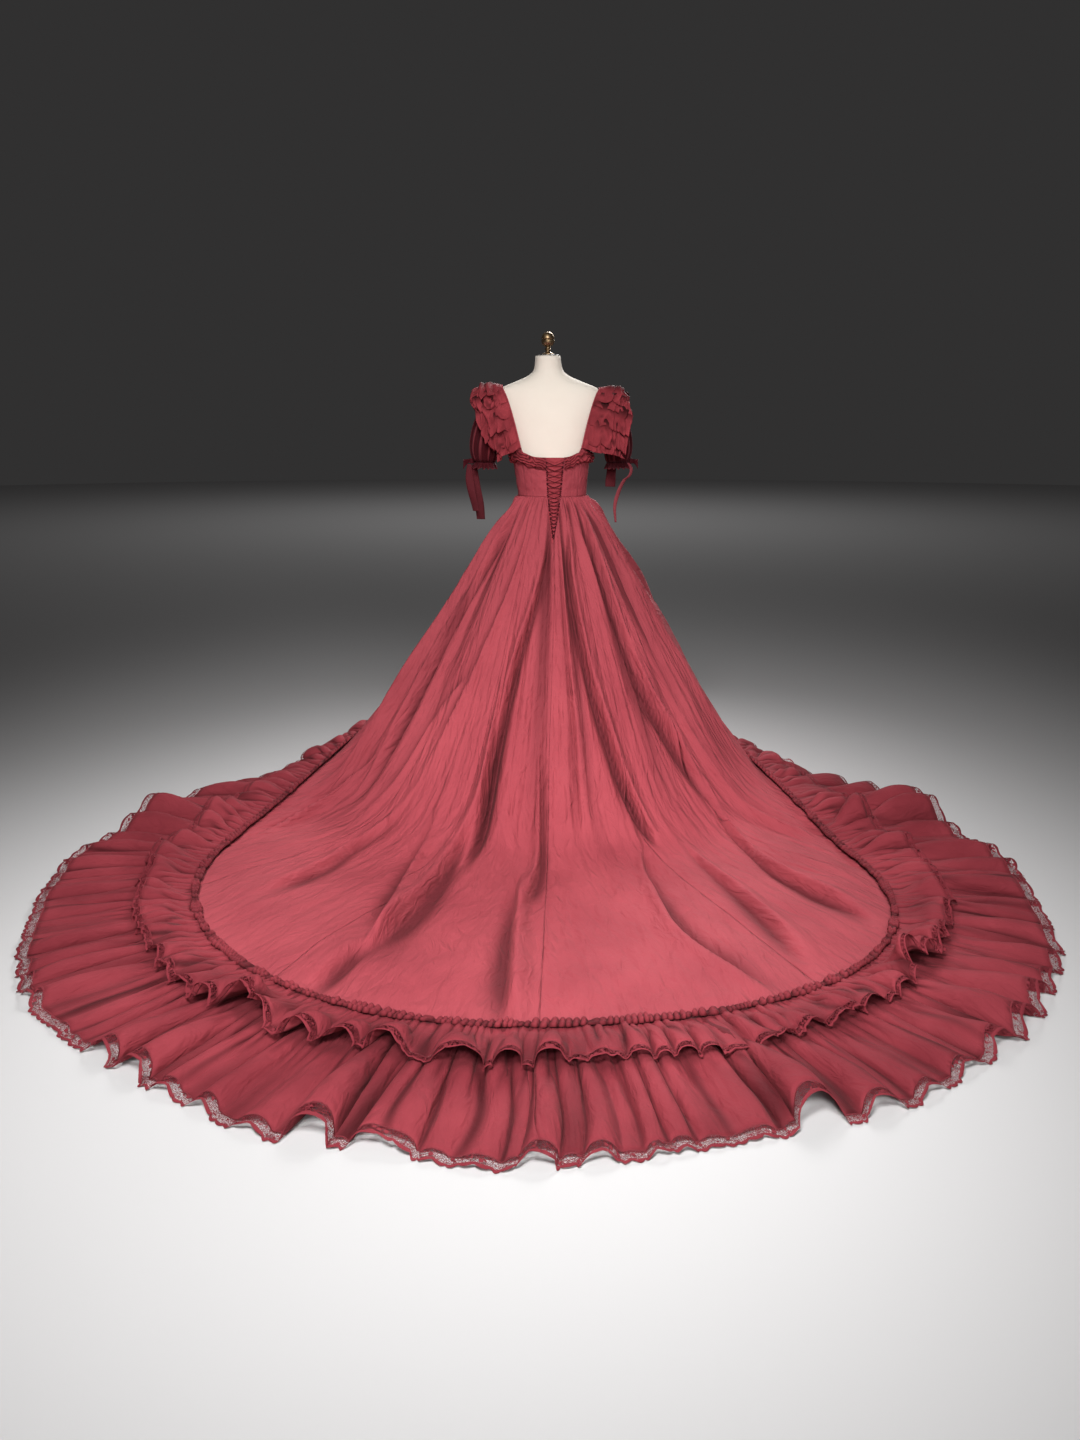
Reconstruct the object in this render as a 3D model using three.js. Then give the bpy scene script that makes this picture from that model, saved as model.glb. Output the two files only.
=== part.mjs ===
// Tiered gown on a limbless dress form, in millimetres, +Z up.
// The origin is on the floor under the form. The gown's back and its train point to -Y.
import * as THREE from 'three';

// ---- driving dimensions
const cloth = 2;                 // thickness of every cloth wall
const seamGap = 0.3;             // clearance between two pieces that are sewn together
const waistHeight = 1135;        // height of the waist seam
const waistShift = 8;            // the waist stands this far to +X of the pole
const bodiceOut = 7;             // middle of the bodice cloth, outside the form
const train = { x: -40, y: -955 };          // centre of the round train on the floor
const hemRadius = 1500;          // round train, to the lower flounce's cut edge
const laceDepth = 30;            // both lace edgings
const flounceDepth = 440;        // lower flounce, seam to cut edge
const upperShare = 0.36;         // upper flounce's depth as a share of the lower one's
const frontSeamHeight = 400;     // the seam hangs this high at the front
const coneSlope = 1.7;           // the skirt falls this much for each unit outwards
const flare = 150;               // size of the round turn from the cone to the floor
const cordRadius = 1.3;          // lacing cord

// ---- small mathematics
const radians = degrees => degrees * Math.PI / 180;
const mix = (a, b, t) => a + (b - a) * t;
const smooth = (a, b, x) => {
  const t = Math.min(1, Math.max(0, (x - a) / (b - a)));
  return t * t * (3 - 2 * t);
};
const bump = (x, centre, width) => Math.exp(-(((x - centre) / width) ** 2));

// Smooth curve through the rows of a table, by its first column.
function readTable(table, x, column) {
  let i = 0;
  while (i < table.length - 2 && x > table[i + 1][0]) i++;
  const [x0, x1] = [table[i][0], table[i + 1][0]];
  const slopeAt = k => {
    const a = Math.max(0, k - 1);
    const b = Math.min(table.length - 1, k + 1);
    return (table[b][column] - table[a][column]) / (table[b][0] - table[a][0]);
  };
  const t = Math.min(1, Math.max(0, (x - x0) / (x1 - x0)));
  const h = x1 - x0;
  return (1 + 2 * t) * (1 - t) ** 2 * table[i][column] + t * (1 - t) ** 2 * h * slopeAt(i)
    + t * t * (3 - 2 * t) * table[i + 1][column] + t * t * (t - 1) * h * slopeAt(i + 1);
}

// ---- closed solids
// A closed solid from a grid of points on each side of a middle surface.
function wall(pointAt, across, along, thickness = cloth, round = false) {
  const middle = [];
  const normal = [];
  const step = 1e-3;
  for (let j = 0; j <= along; j++) {
    for (let i = 0; i < (round ? across : across + 1); i++) {
      const [s, t] = [i / across, j / along];
      const ds = pointAt(s + step, t).sub(pointAt(s - step, t));
      const dt = pointAt(s, Math.min(1, t + step)).sub(pointAt(s, Math.max(0, t - step)));
      middle.push(pointAt(s, t));
      normal.push(ds.cross(dt).normalize());
    }
  }
  const columns = round ? across : across + 1;
  const count = middle.length;
  const points = [];
  for (const side of [0.5, -0.5]) {
    middle.forEach((p, k) => {
      const q = p.clone().addScaledVector(normal[k], side * thickness);
      points.push(q.x, q.y, Math.max(0, q.z));
    });
  }
  const faces = [];
  const quad = (a, b, c, d) => faces.push(a, b, c, a, c, d);
  const at = (i, j) => j * columns + (i % columns);
  for (let j = 0; j < along; j++) {
    for (let i = 0; i < across; i++) {
      const [a, b, c, d] = [at(i, j), at(i + 1, j), at(i + 1, j + 1), at(i, j + 1)];
      quad(a, b, c, d);
      quad(a + count, d + count, c + count, b + count);   // cut on the same diagonal as the outer face
    }
  }
  for (let i = 0; i < across; i++) {
    quad(at(i, 0), at(i, 0) + count, at(i + 1, 0) + count, at(i + 1, 0));
    quad(at(i, along), at(i + 1, along), at(i + 1, along) + count, at(i, along) + count);
  }
  for (let j = 0; j < along && !round; j++) {
    quad(at(0, j), at(0, j + 1), at(0, j + 1) + count, at(0, j) + count);
    quad(at(across, j), at(across, j) + count, at(across, j + 1) + count, at(across, j + 1));
  }
  return closed(points, faces);
}

// Indexed geometry whose faces point out, whichever way the grid ran.
function closed(points, faces) {
  let volume = 0;
  const corner = k => new THREE.Vector3(points[3 * k], points[3 * k + 1], points[3 * k + 2]);
  for (let i = 0; i < faces.length; i += 3) {
    const [a, b, c] = [faces[i], faces[i + 1], faces[i + 2]].map(corner);
    volume += a.dot(b.cross(c));
  }
  if (volume < 0) {
    for (let i = 0; i < faces.length; i += 3) {
      [faces[i + 1], faces[i + 2]] = [faces[i + 2], faces[i + 1]];
    }
  }
  const geometry = new THREE.BufferGeometry();
  geometry.setAttribute('position', new THREE.Float32BufferAttribute(points, 3));
  geometry.setIndex(faces);
  geometry.computeVertexNormals();
  return geometry;
}

// A solid turned about a line parallel to Z, from [radius, height] rows that start and end on it.
function turned(profile, x, segments) {
  const geometry = new THREE.LatheGeometry(profile.map(([r, z]) => new THREE.Vector2(r, z)), segments);
  geometry.rotateX(Math.PI / 2);
  geometry.translate(x, 0, 0);
  return geometry;
}

// A round cord along points.
function cordAlong(points, stepsPerPoint) {
  const path = new THREE.CatmullRomCurve3(points, false, 'centripetal');
  const ring = new THREE.Shape();
  const sides = 8;
  for (let k = 0; k < sides; k++) {
    const a = (k / sides) * 2 * Math.PI;
    ring[k ? 'lineTo' : 'moveTo'](cordRadius * Math.cos(a), cordRadius * Math.sin(a));
  }
  const steps = (points.length - 1) * stepsPerPoint;
  return new THREE.ExtrudeGeometry(ring, { steps, extrudePath: path, bevelEnabled: false });
}

// ---- the dress form
// height, half width, depth to the back, depth to the front
const formSections = [
  [830, 148, 104, 96],
  [880, 164, 116, 106],
  [960, 168, 118, 108],
  [1060, 145, 104, 100],
  [1135, 122, 90, 92],
  [1180, 125, 90, 98],
  [1240, 132, 94, 114],
  [1300, 144, 98, 130],
  [1360, 161, 100, 132],
  [1420, 177, 98, 118],
  [1465, 189, 91, 98],
  [1500, 190, 83, 82],
  [1524, 177, 75, 72],
  [1543, 130, 69, 64],
  [1562, 84, 62, 58],
  [1580, 58, 55, 54],
  [1600, 50, 50, 50],
  [1636, 46, 46, 46],
];
const formTop = 1636;
const formBottom = 830;
const formShift = z => waistShift - 0.034 * Math.max(0, z - waistHeight);

// How far outside the form's skin a point is, as a number that is 0 on the skin.
function formValue(p) {
  const [width, back, front] = [1, 2, 3].map(column => readTable(formSections, p.z, column));
  return Math.hypot((p.x - formShift(p.z)) / width, p.y / (p.y < 0 ? back : front)) - 1;
}

// The point moved along the form's own normal until it lies `out` outside the skin.
function onForm(point, out) {
  const p = point.clone();
  const slope = new THREE.Vector3();
  const e = 0.5;
  for (let pass = 0; pass < 8; pass++) {
    const value = formValue(p);
    for (const axis of ['x', 'y', 'z']) {
      const q = p.clone();
      q[axis] += e;
      slope[axis] = (formValue(q) - value) / e;
    }
    p.addScaledVector(slope, -value / slope.lengthSq());
  }
  return p.addScaledVector(slope.normalize(), out);
}

// A point of the form by its height and its angle, 0 at the back and 90 at +X.
function formPoint(angle, z, out) {
  const [width, back, front] = [1, 2, 3].map(column => readTable(formSections, z, column));
  const c = -Math.cos(radians(angle));
  const x = formShift(z) + (width + out) * Math.sin(radians(angle));
  return new THREE.Vector3(x, ((c < 0 ? back : front) + out) * c, z);
}

function torso() {
  const around = 32;
  const rings = formSections.map(row => row[0]);
  const points = [];
  for (const z of rings) {
    for (let i = 0; i < around; i++) points.push(...formPoint((i / around) * 360, z, 0));
  }
  const last = rings.length * around;
  points.push(formShift(formBottom), 0, formBottom, formShift(formTop), 0, formTop);
  const faces = [];
  for (let i = 0; i < around; i++) {
    const n = (i + 1) % around;
    for (let j = 0; j < rings.length - 1; j++) {
      const [a, b, c, d] = [j * around + i, j * around + n, (j + 1) * around + n, (j + 1) * around + i];
      faces.push(a, b, c, a, c, d);
    }
    faces.push(n, i, last);
    faces.push(last - around + i, last - around + n, last + 1);
  }
  return closed(points, faces);
}

// radius and height above the neck of the turned finial
const finialProfile = [
  [0, 4.3], [21, 4.3], [21, 9], [13, 13], [8, 20], [6.5, 30], [9.5, 34], [12, 38], [9.5, 41],
  [7.5, 45], [13, 50], [20, 58], [22, 65], [18.5, 67], [18.5, 69], [22, 71], [18, 79], [9, 84], [0, 85],
];
const neckPlate = { radius: 43, thickness: 3.7 };
const pole = { radius: 13 };
const base = { radius: 210, thickness: 14, hubRadius: 32, hubHeight: 60 };

// ---- the skirt
const gatherHeight = 30;         // the cloth puffs out under the waist seam
const waistRing = angle => formPoint(angle, waistHeight, bodiceOut);

// Seam between skirt and flounces: angle is 0 at the back of the train and 90 at +X.
const seamHeight = angle => 30 + (frontSeamHeight - 30) * smooth(95, 180, Math.abs(angle)) ** 1.1;
function seamPoint(angle) {
  const z = seamHeight(angle);
  const hung = hemRadius - Math.sqrt(Math.max(0, flounceDepth ** 2 - z ** 2));
  const laid = 55 * bump(angle, 52, 26) - 48 * bump(angle, 98, 18) - 18 * bump(angle, 6, 14)
    - 30 * bump(Math.abs(angle), 124, 20);
  return onTrain(angle, hung + laid, z);
}
function onTrain(angle, radius, z) {
  const a = radians(angle);
  return new THREE.Vector3(train.x + radius * Math.sin(a), train.y - radius * Math.cos(a), z);
}

// Height of the skirt at a distance from the waist: a straight cone that turns out on the floor.
function coneHeight(outward) {
  const puff = gatherHeight * (1 - Math.exp(-outward / 50));
  return flare * Math.log1p(Math.exp((waistHeight + puff - coneSlope * outward) / flare));
}

// Large folds of the skirt. Each runs through three places, given as share of the way from the waist
// to the seam and angle, then its half width in degrees and its height, negative for a trough.
const skirtFolds = [
  [0.03, -133, 0.40, -130, 0.86, -127, 6, -30], [0.03, -147, 0.40, -144, 0.80, -142, 7, 16],
  [0.02, -54, 0.13, -52, 0.36, -74, 5, -14], [0.26, -70, 0.36, -85, 0.60, -90, 6, -12],
  [0.06, -2, 0.20, -27, 0.45, -29, 4.5, -24], [0.31, -31, 0.55, -33, 1.00, -32, 5, -26],
  [0.29, -4, 0.53, -9, 1.00, -5, 3.5, -16], [0.05, 26, 0.21, 31, 0.42, 43, 4.5, -20],
  [0.44, 35, 0.67, 33, 1.00, 37, 4, -16], [0.03, 74, 0.20, 69, 0.48, 81, 5, -20],
  [0.04, 110, 0.40, 98, 0.80, 104, 7, -18], [0.49, 83, 0.65, 70, 0.95, 67, 6, -16],
  [0.55, -115, 0.77, -116, 0.95, -98, 5, -12], [0.45, -70, 0.60, -71, 0.85, -66, 6, -12],
  [0.08, 8, 0.30, 8, 0.80, 14, 8, 10], [0.30, -42, 0.60, -42, 0.90, -40, 6, 12],
  [0.05, 86, 0.25, 84, 0.50, 95, 6, 12], [0.02, 152, 0.50, 150, 0.90, 150, 8, -20],
  [0.02, -158, 0.50, -156, 0.90, -158, 8, -20], [0.02, 178, 0.50, 176, 0.90, 178, 8, -18],
];
const turnBack = angle => ((angle + 540) % 360) - 180;
function foldHeight(angle, u) {
  let height = 0;
  for (const [u0, a0, u1, a1, u2, a2, width, size] of skirtFolds) {
    const t = (u - u0) / (u2 - u0);
    if (t <= 0 || t >= 1) continue;
    const line = a0 * (u - u1) * (u - u2) / ((u0 - u1) * (u0 - u2))
      + a1 * (u - u0) * (u - u2) / ((u1 - u0) * (u1 - u2)) + a2 * (u - u0) * (u - u1) / ((u2 - u0) * (u2 - u1));
    height += size * bump(turnBack(angle - line), 0, width) * Math.sin(Math.PI * t ** 0.7);
  }
  return height;
}

// A point of the skirt: angle on the train's circle, and u from the waist to the seam.
function skirtPoint(angle, u, out = 0) {
  const end = seamPoint(angle);
  const turn = Math.atan2(end.x - waistShift, -end.y) * 180 / Math.PI;
  const start = waistRing(turn);
  const x = mix(start.x, end.x, u);
  const y = mix(start.y, end.y, u);
  const r0 = Math.hypot(start.x - waistShift, start.y);
  const r1 = Math.hypot(end.x - waistShift, end.y);
  const outward = (r1 - r0) * u;
  const z = coneHeight(outward) + (waistHeight - coneHeight(0)) * (1 - u) ** 6
    + (end.z - coneHeight(r1 - r0)) * u ** 3;
  const steep = 1 / Math.hypot(1, coneSlope * Math.min(1, z / 300));
  const lift = foldHeight(angle, u) + out;
  const slope = Math.sqrt(1 - steep ** 2);
  const a = radians(turn);
  return new THREE.Vector3(x + lift * slope * Math.sin(a), y - lift * slope * Math.cos(a), z + lift * steep);
}

// The slit under the lacing: its middle and half width, in degrees of the train's circle.
const slitEnd = 0.052;
const slitMiddle = u => 6 * (1 - smooth(0, 0.3, u));
const slitHalf = u => 18 * Math.max(0, 1 - u / slitEnd);
const skirtSteps = 9;
const skirtRows = t => t ** 1.75;

// name, left edge and right edge in degrees, columns
const gores = [
  ['skirt_back_left', -40, 0, 8], ['skirt_back_right', 0, 40, 8],
  ['skirt_side_back_left', -80, -40, 8], ['skirt_side_back_right', 40, 80, 8],
  ['skirt_side_left', -130, -80, 10], ['skirt_side_right', 80, 130, 10],
  ['skirt_front', 130, 230, 20],
];
function gore(left, right, columns) {
  const backEdge = (angle, u, side) => angle === 0 ? slitMiddle(u) + side * slitHalf(u) : angle;
  return wall((s, t) => {
    const u = skirtRows(Math.max(0, t));
    const perDegree = mix(1.6, 18, u);
    const inset = (seamGap / 2 + 0.1) / perDegree;
    const from = backEdge(left, u, 1) + inset;
    const to = backEdge(right, u, -1) - inset;
    return wrapped(mix(from, to, s), u);
  }, columns, skirtSteps);
}
const wrapped = (angle, u) => {
  const p = skirtPoint(turnBack(angle), u);
  if (u === 0) p.z -= seamGap;
  return p;
};

// ---- flounces
// Gathers of a flounce: soft waves, 0 at the lowest and 1 at the highest.
const wave = angle => 0.5 + 0.3 * Math.sin(radians(18 * angle) + 0.7) + 0.2 * Math.sin(radians(11 * angle));

// A point of the lower flounce: v runs from the seam to the cut edge.
function flouncePoint(angle, v, out = 0) {
  const from = seamPoint(angle);
  const to = onTrain(angle, hemRadius, 1.2);
  const p = from.clone().lerp(to, v);
  const fall = Math.atan2(from.z - to.z, Math.hypot(from.x - to.x, from.y - to.y));
  const lift = (5 + 15 * v) * wave(angle) + out;
  const a = radians(angle);
  p.x += lift * Math.sin(fall) * Math.sin(a);
  p.y -= lift * Math.sin(fall) * Math.cos(a);
  p.z += lift * Math.cos(fall);
  return p;
}

// A ring of wall through shares of the flounce's depth, cut into equal lengths.
function ringPiece(index, lengths, columns, shares, out) {
  return wall((s, t) => {
    const width = 360 / lengths;
    const edge = 0.015;
    const angle = turnBack(mix(edge, width - edge, s) + index * width - 180);
    const rows = shares.length - 1;
    const row = Math.min(rows - 1, Math.floor(t * rows));
    return flouncePoint(angle, mix(shares[row], shares[row + 1], t * rows - row), out(t));
  }, columns, shares.length - 1);
}
const laceShare = laceDepth / flounceDepth;
const share = 2 * seamGap / flounceDepth;

// ---- the bodice
const bodiceTopTable = [        // angle round the form, height of the top edge
  [0, 1268], [25, 1270], [40, 1284], [60, 1362], [75, 1332], [90, 1324], [105, 1332], [120, 1352], [150, 1346],
  [180, 1340],
];
const bodiceTop = angle => readTable(bodiceTopTable, Math.abs(angle), 1);
const lacingX = z => 11 + 0.018 * (z - 970);
const lacingHalf = z => z > waistHeight
  ? mix(22, 31, (z - waistHeight) / 140)
  : 22 * Math.max(0, (z - 985) / 150);

// name, left and right angle, columns
const bodicePanels = [
  ['bodice_back_left', -48, 0, 4], ['bodice_back_right', 0, 48, 4],
  ['bodice_side_left', -118, -48, 6], ['bodice_side_right', 48, 118, 6],
  ['bodice_front', 118, 242, 10],
];
function bodicePanel(left, right, columns) {
  return wall((s, t) => {
    const edge = 0.12;
    const angleAt = (z, side) => {
      const across = (lacingX(z) + side * lacingHalf(z) - formShift(z)) / readTable(formSections, z, 1);
      return Math.asin(across) * 180 / Math.PI;
    };
    const z0 = mix(waistHeight, bodiceTop(turnBack(mix(left, right, s))), t);
    const from = left === 0 ? angleAt(z0, 1) : left + edge;
    const to = right === 0 ? angleAt(z0, -1) : right - edge;
    const angle = turnBack(mix(from, to, s));
    return formPoint(angle, mix(waistHeight, bodiceTop(angle), t), bodiceOut);
  }, columns, 4);
}

// The ruched band over the bodice's top edge: angle, height of its top edge.
const bandTopTable = [
  [0, 1276], [25, 1279], [42, 1294], [60, 1300], [90, 1298], [120, 1330], [150, 1356], [180, 1350],
];
const bandDepth = 42;
function neckBand(left, right, columns) {
  return wall((s, t) => {
    const opening = side => {
      const z = 1255;
      const across = (lacingX(z) + side * (lacingHalf(z) + 1) - formShift(z)) / readTable(formSections, z, 1);
      return Math.asin(across) * 180 / Math.PI;
    };
    const from = left === 0 ? opening(1) : left + 0.12;
    const to = right === 0 ? opening(-1) : right - 0.12;
    const angle = turnBack(mix(from, to, s));
    const top = readTable(bandTopTable, Math.abs(angle), 1);
    const belly = 5 * Math.sin(Math.PI * mix(0.06, 0.94, t));
    return formPoint(angle, top - bandDepth * t, bodiceOut + cloth + 0.5 + belly);
  }, columns, 3);
}

// ---- straps, sleeves and their trims. side is -1 at the left and 1 at the right.
const armhole = { y: 0, z: 1400, halfWidth: 60, halfHeight: 76 };
// The strap lies on the form over the shoulder and laps over the bodice at its ends.
const strapOut = turn => mix(7.2, bodiceOut + cloth + 1.2, smooth(55, 104, Math.abs(turn)));
const strapEnd = 118;            // degrees round the armhole from its top, to the back and to the front

// A point of the armhole's edge on the form: turn is 0 at the top, negative to the back.
function armholePoint(side, turn, size, out) {
  const a = radians(turn);
  const y = armhole.y + size * armhole.halfWidth * Math.sin(a);
  const z = armhole.z + size * armhole.halfHeight * Math.cos(a);
  return onForm(new THREE.Vector3(side * 215, y, z), out);
}

// turn, x and height of the neckline's edge of a strap, from the back over the shoulder to the front
const neckCentre = 4;
const neckEdge = [
  [-118, 112, -84, 1304], [-80, 139, -88, 1400], [-40, 163, -66, 1490], [0, 174, 0, 1526],
  [40, 166, 62, 1488], [80, 150, 104, 1420], [118, 126, 122, 1362],
];
function strapPoint(side, turn, across, out) {
  const outer = armholePoint(side, turn, 1, 0);
  const [x, y, z] = [1, 2, 3].map(column => readTable(neckEdge, turn, column));
  const inner = new THREE.Vector3(neckCentre + side * x, y, z);
  return onForm(outer.lerp(inner, across), out);
}
const strap = side => wall((s, t) => {
  const turn = mix(-strapEnd, strapEnd, s);
  return strapPoint(side, turn, t, strapOut(turn));
}, 16, 2);

// Puff sleeve: share of its length, x and z of the ring's middle, turn of the ring, reach up and out,
// reach under the arm, half depth front to back
const sleeveRings = [
  [0.25, 212, 1392, 18, 76, 62, 78],
  [0.5, 226, 1362, 42, 72, 40, 84],
  [0.75, 238, 1318, 66, 64, 38, 80],
  [0.9, 243, 1285, 80, 56, 40, 68],
  [1, 245, 1258, 90, 42, 36, 50],
];
const sleeveEnd = { x: 245, z: 1258 };
function sleevePoint(side, turn, t) {
  const a = radians(turn);
  const seat = 1 - smooth(108, 150, Math.abs(turnBack(turn)));
  const under = mix(bodiceOut, strapOut(Math.min(strapEnd, Math.abs(turnBack(turn)))), seat);
  const head = armholePoint(side, turn, 1.04, under + cloth / 2 + 6 * seamGap);
  if (t <= 0) return head;
  const headShare = sleeveRings[0][0];
  const k = Math.max(headShare, t);
  const [x, z, tilt, up, low, depth] = [1, 2, 3, 4, 5, 6].map(column => readTable(sleeveRings, k, column));
  const b = radians(tilt);
  const c = Math.cos(a);
  const reach = mix(low, up, (c + 1) / 2) * c;
  const ring = new THREE.Vector3(
    side * (x + reach * Math.sin(b)) + 3, depth * Math.sin(a), z + reach * Math.cos(b));
  return t < headShare ? head.lerp(ring, t / headShare) : ring;
}
const sleeve = side => wall((s, t) => sleevePoint(side, 360 * s, t), 12, 6, cloth, true);

// The frill below a sleeve's gathered end.
function cuff(side) {
  return wall((s, t) => {
    const p = sleevePoint(side, 360 * s, 1);
    const grow = 1 + 0.14 * t + 0.05 * t * Math.sin(radians(360 * 4 * s));
    p.x = 3 + side * sleeveEnd.x + (p.x - 3 - side * sleeveEnd.x) * grow;
    p.y *= grow;
    p.z -= 4 * seamGap + 22 * t;
    return p;
  }, 12, 1, cloth, true);
}

// Gathered ruffles over a strap: turns where one starts and ends on the strap, how far it reaches
// outwards, how far it falls, how far it stands off, and its waves.
const ruffles = {
  top: { from: -34, to: 70, reach: 108, fall: 52, stand: 26, waves: 4 },
  middle: { from: -82, to: -40, reach: 96, fall: 40, stand: 26, waves: 3 },
  low: { from: -116, to: -87, reach: 74, fall: 34, stand: 20, waves: 3 },
};
function ruffle(side, { from, to, reach, fall, stand, waves }) {
  return wall((s, t) => {
    const turn = mix(from, to, s);
    const seat = strapPoint(side, turn, 0.86, strapOut(turn) + cloth - 0.5);
    const away = seat.clone().sub(strapPoint(side, turn, 0.86, 0)).normalize();
    const gather = 7 * t * Math.sin(2 * Math.PI * waves * s);
    seat.addScaledVector(away, stand * Math.sin(Math.PI * 0.7 * t) + gather * 0.5);
    seat.x += side * reach * t;
    seat.z -= fall * t * t - gather;
    return seat;
  }, 3 * waves, 2);
}

// Ribbon bow on the outer face of a cuff, pinched at its middle, and two hanging tails.
const bowSeat = side => sleevePoint(side, 0, 1).add(new THREE.Vector3(side * 3.6, 0, 0));
const bow = { width: 62, height: 26, knot: 9 };
function bowLoops(side) {
  return wall((s, t) => {
    const p = bowSeat(side);
    const across = 2 * s - 1;
    const half = mix(bow.knot, bow.height, Math.abs(across)) / 2;
    p.y += across * bow.width / 2;
    p.x += side * 7 * Math.abs(across);
    p.z += (1 - 2 * t) * half + 2;
    return p;
  }, 6, 2);
}
// start along Y, x and y of the lower end, width, length
const tails = {
  left: [[-9, -6, -52, 34, 200], [9, 12, 24, 30, 185]],
  right: [[-9, -22, -40, 22, 190], [9, 10, 22, 30, 110]],
};
function tail(side, [start, endX, endY, width, length]) {
  return wall((s, t) => {
    const p = bowSeat(side);
    p.x += side * (3.0 + 6 * Math.sin(Math.PI * t)) + side * endX * t * t;
    p.y += start + (endY - start) * t + (s - 0.5) * mix(9, width, smooth(0, 0.35, t));
    p.z -= 16 + length * t;
    return p;
  }, 1, 5);
}

// ---- the centre back
// A point over the form above the waist and over the skirt below it, for what lies in the slit.
function backPoint(x, z, out) {
  if (z >= waistHeight) {
    const p = formPoint(0, z, bodiceOut + out);
    const across = (x - formShift(z)) / readTable(formSections, z, 1);
    p.y *= Math.sqrt(1 - across ** 2);
    p.x = x;
    return p;
  }
  const rowAt = k => {
    const u = skirtRows(k / skirtSteps);
    return skirtPoint(slitMiddle(u), u);
  };
  let k = 0;
  while (rowAt(k + 1).z > z) k++;
  const [above, below] = [rowAt(k), rowAt(k + 1)];
  const y = mix(above.y, below.y, (above.z - z) / (above.z - below.z));
  const round = Math.sqrt(1 - ((x - waistShift) / y) ** 2);
  return new THREE.Vector3(x, y * round - out * 1.2, z);
}
function modestyPanel() {
  return wall((s, t) => {
    const z = t < 0.4 ? mix(1262, 1131, t / 0.4) : mix(1131, 976, (t - 0.4) / 0.6);
    const half = Math.max(4, lacingHalf(z) + 7);
    return backPoint(lacingX(z) + mix(-half, half, s), z, -4.2);
  }, 2, 10);
}
// Heights of the eyelets, from the top of the lacing to its point.
const eyelets = [1254, 1222, 1190, 1160, 1132, 1108, 1085, 1062, 1040];
function laceStrand(first) {
  const points = [];
  eyelets.forEach((z, k) => {
    const side = (k + first) % 2 ? -1 : 1;
    points.push(backPoint(lacingX(z) + side * (lacingHalf(z) + 4), z, cloth / 2 + cordRadius + 1.2));
    if (k < eyelets.length - 1) {
      const middle = (z + eyelets[k + 1]) / 2;
      points.push(backPoint(lacingX(middle), middle, cloth / 2 + cordRadius + (first ? 3.4 : -0.8)));
    }
  });
  return cordAlong(points, 2);
}

// ---- materials
const finish = (color, roughness, metalness = 0) =>
  new THREE.MeshStandardMaterial({ color, roughness, metalness });
const materials = {
  cotton: finish(0xb8545b, 0.85),
  flounce: finish(0x8c3a42, 0.85),
  velvet: finish(0x4a1218, 0.7),
  lace: finish(0x9a5a5c, 0.9),
  cord: finish(0x5a1a20, 0.6),
  jersey: finish(0xf3e6da, 0.8),
  brass: finish(0x9c7c60, 0.35, 0.9),
  steel: finish(0x8a8784, 0.4, 0.9),
};

// ---- assembly
const gown = new THREE.Group();
const form = new THREE.Group();
const dressAndForm = new THREE.Group();
dressAndForm.add(gown, form);
const add = (group, name, geometry, material) => {
  const mesh = new THREE.Mesh(geometry, materials[material]);
  mesh.name = name;
  group.add(mesh);
};

add(form, 'form_torso', torso(), 'jersey');
const neckX = formShift(formTop);
const { radius: plateRadius, thickness: plateThickness } = neckPlate;
add(form, 'form_neck_plate', turned([
  [0, formTop + seamGap], [plateRadius, formTop + seamGap], [plateRadius + 1.5, formTop + 1.5],
  [plateRadius, formTop + plateThickness], [0, formTop + plateThickness],
], neckX, 24), 'steel');
add(form, 'form_finial', turned(finialProfile.map(([r, z]) => [r, formTop + z - 0.3]), neckX, 20), 'brass');
add(form, 'form_pole', turned([
  [0, base.hubHeight + seamGap], [pole.radius, base.hubHeight + seamGap],
  [pole.radius, formBottom - seamGap], [0, formBottom - seamGap],
], 0, 20), 'steel');
add(form, 'form_base', turned([
  [0, 0], [base.radius, 0], [base.radius, 6], [base.radius - 6, base.thickness - 2], [60, base.thickness + 6],
  [base.hubRadius, 30], [base.hubRadius - 6, base.hubHeight], [0, base.hubHeight],
], 0, 32), 'steel');

for (const [name, left, right, columns] of gores) add(gown, name, gore(left, right, columns), 'cotton');
for (const [name, left, right, columns] of bodicePanels) {
  add(gown, name, bodicePanel(left, right, columns), 'cotton');
}
add(gown, 'neck_band_back_left', neckBand(-118, 0, 10), 'cotton');
add(gown, 'neck_band_back_right', neckBand(0, 118, 10), 'cotton');
add(gown, 'neck_band_front', neckBand(118, 242, 8), 'cotton');
add(gown, 'modesty_panel', modestyPanel(), 'cotton');
add(gown, 'lacing_under', laceStrand(0), 'cord');
add(gown, 'lacing_over', laceStrand(1), 'cord');

// ring name, lengths, columns in each, shares of the flounce's depth, clearance, material
const rings = [
  ['lower_flounce', 6, 12, [share, upperShare, 1], () => 0, 'flounce'],
  ['lower_lace', 4, 18, [1 + share, 1 + laceShare], () => 0, 'lace'],
  ['upper_flounce', 4, 18, [share, upperShare], t => 3.6 + 6 * t, 'flounce'],
  ['upper_lace', 2, 36, [upperShare + share, upperShare + laceShare], () => 9.6, 'lace'],
];
for (const [name, lengths, columns, shares, out, material] of rings) {
  for (let k = 0; k < lengths; k++) {
    add(gown, `${name}_${k + 1}`, ringPiece(k, lengths, columns, shares, out), material);
  }
}
const headingShare = 10 / flounceDepth;
for (let k = 0; k < 2; k++) {
  add(gown, `ruched_heading_${k + 1}`, ringPiece(k, 2, 36, [-headingShare, headingShare], () => 8.1), 'cotton');
}

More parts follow.
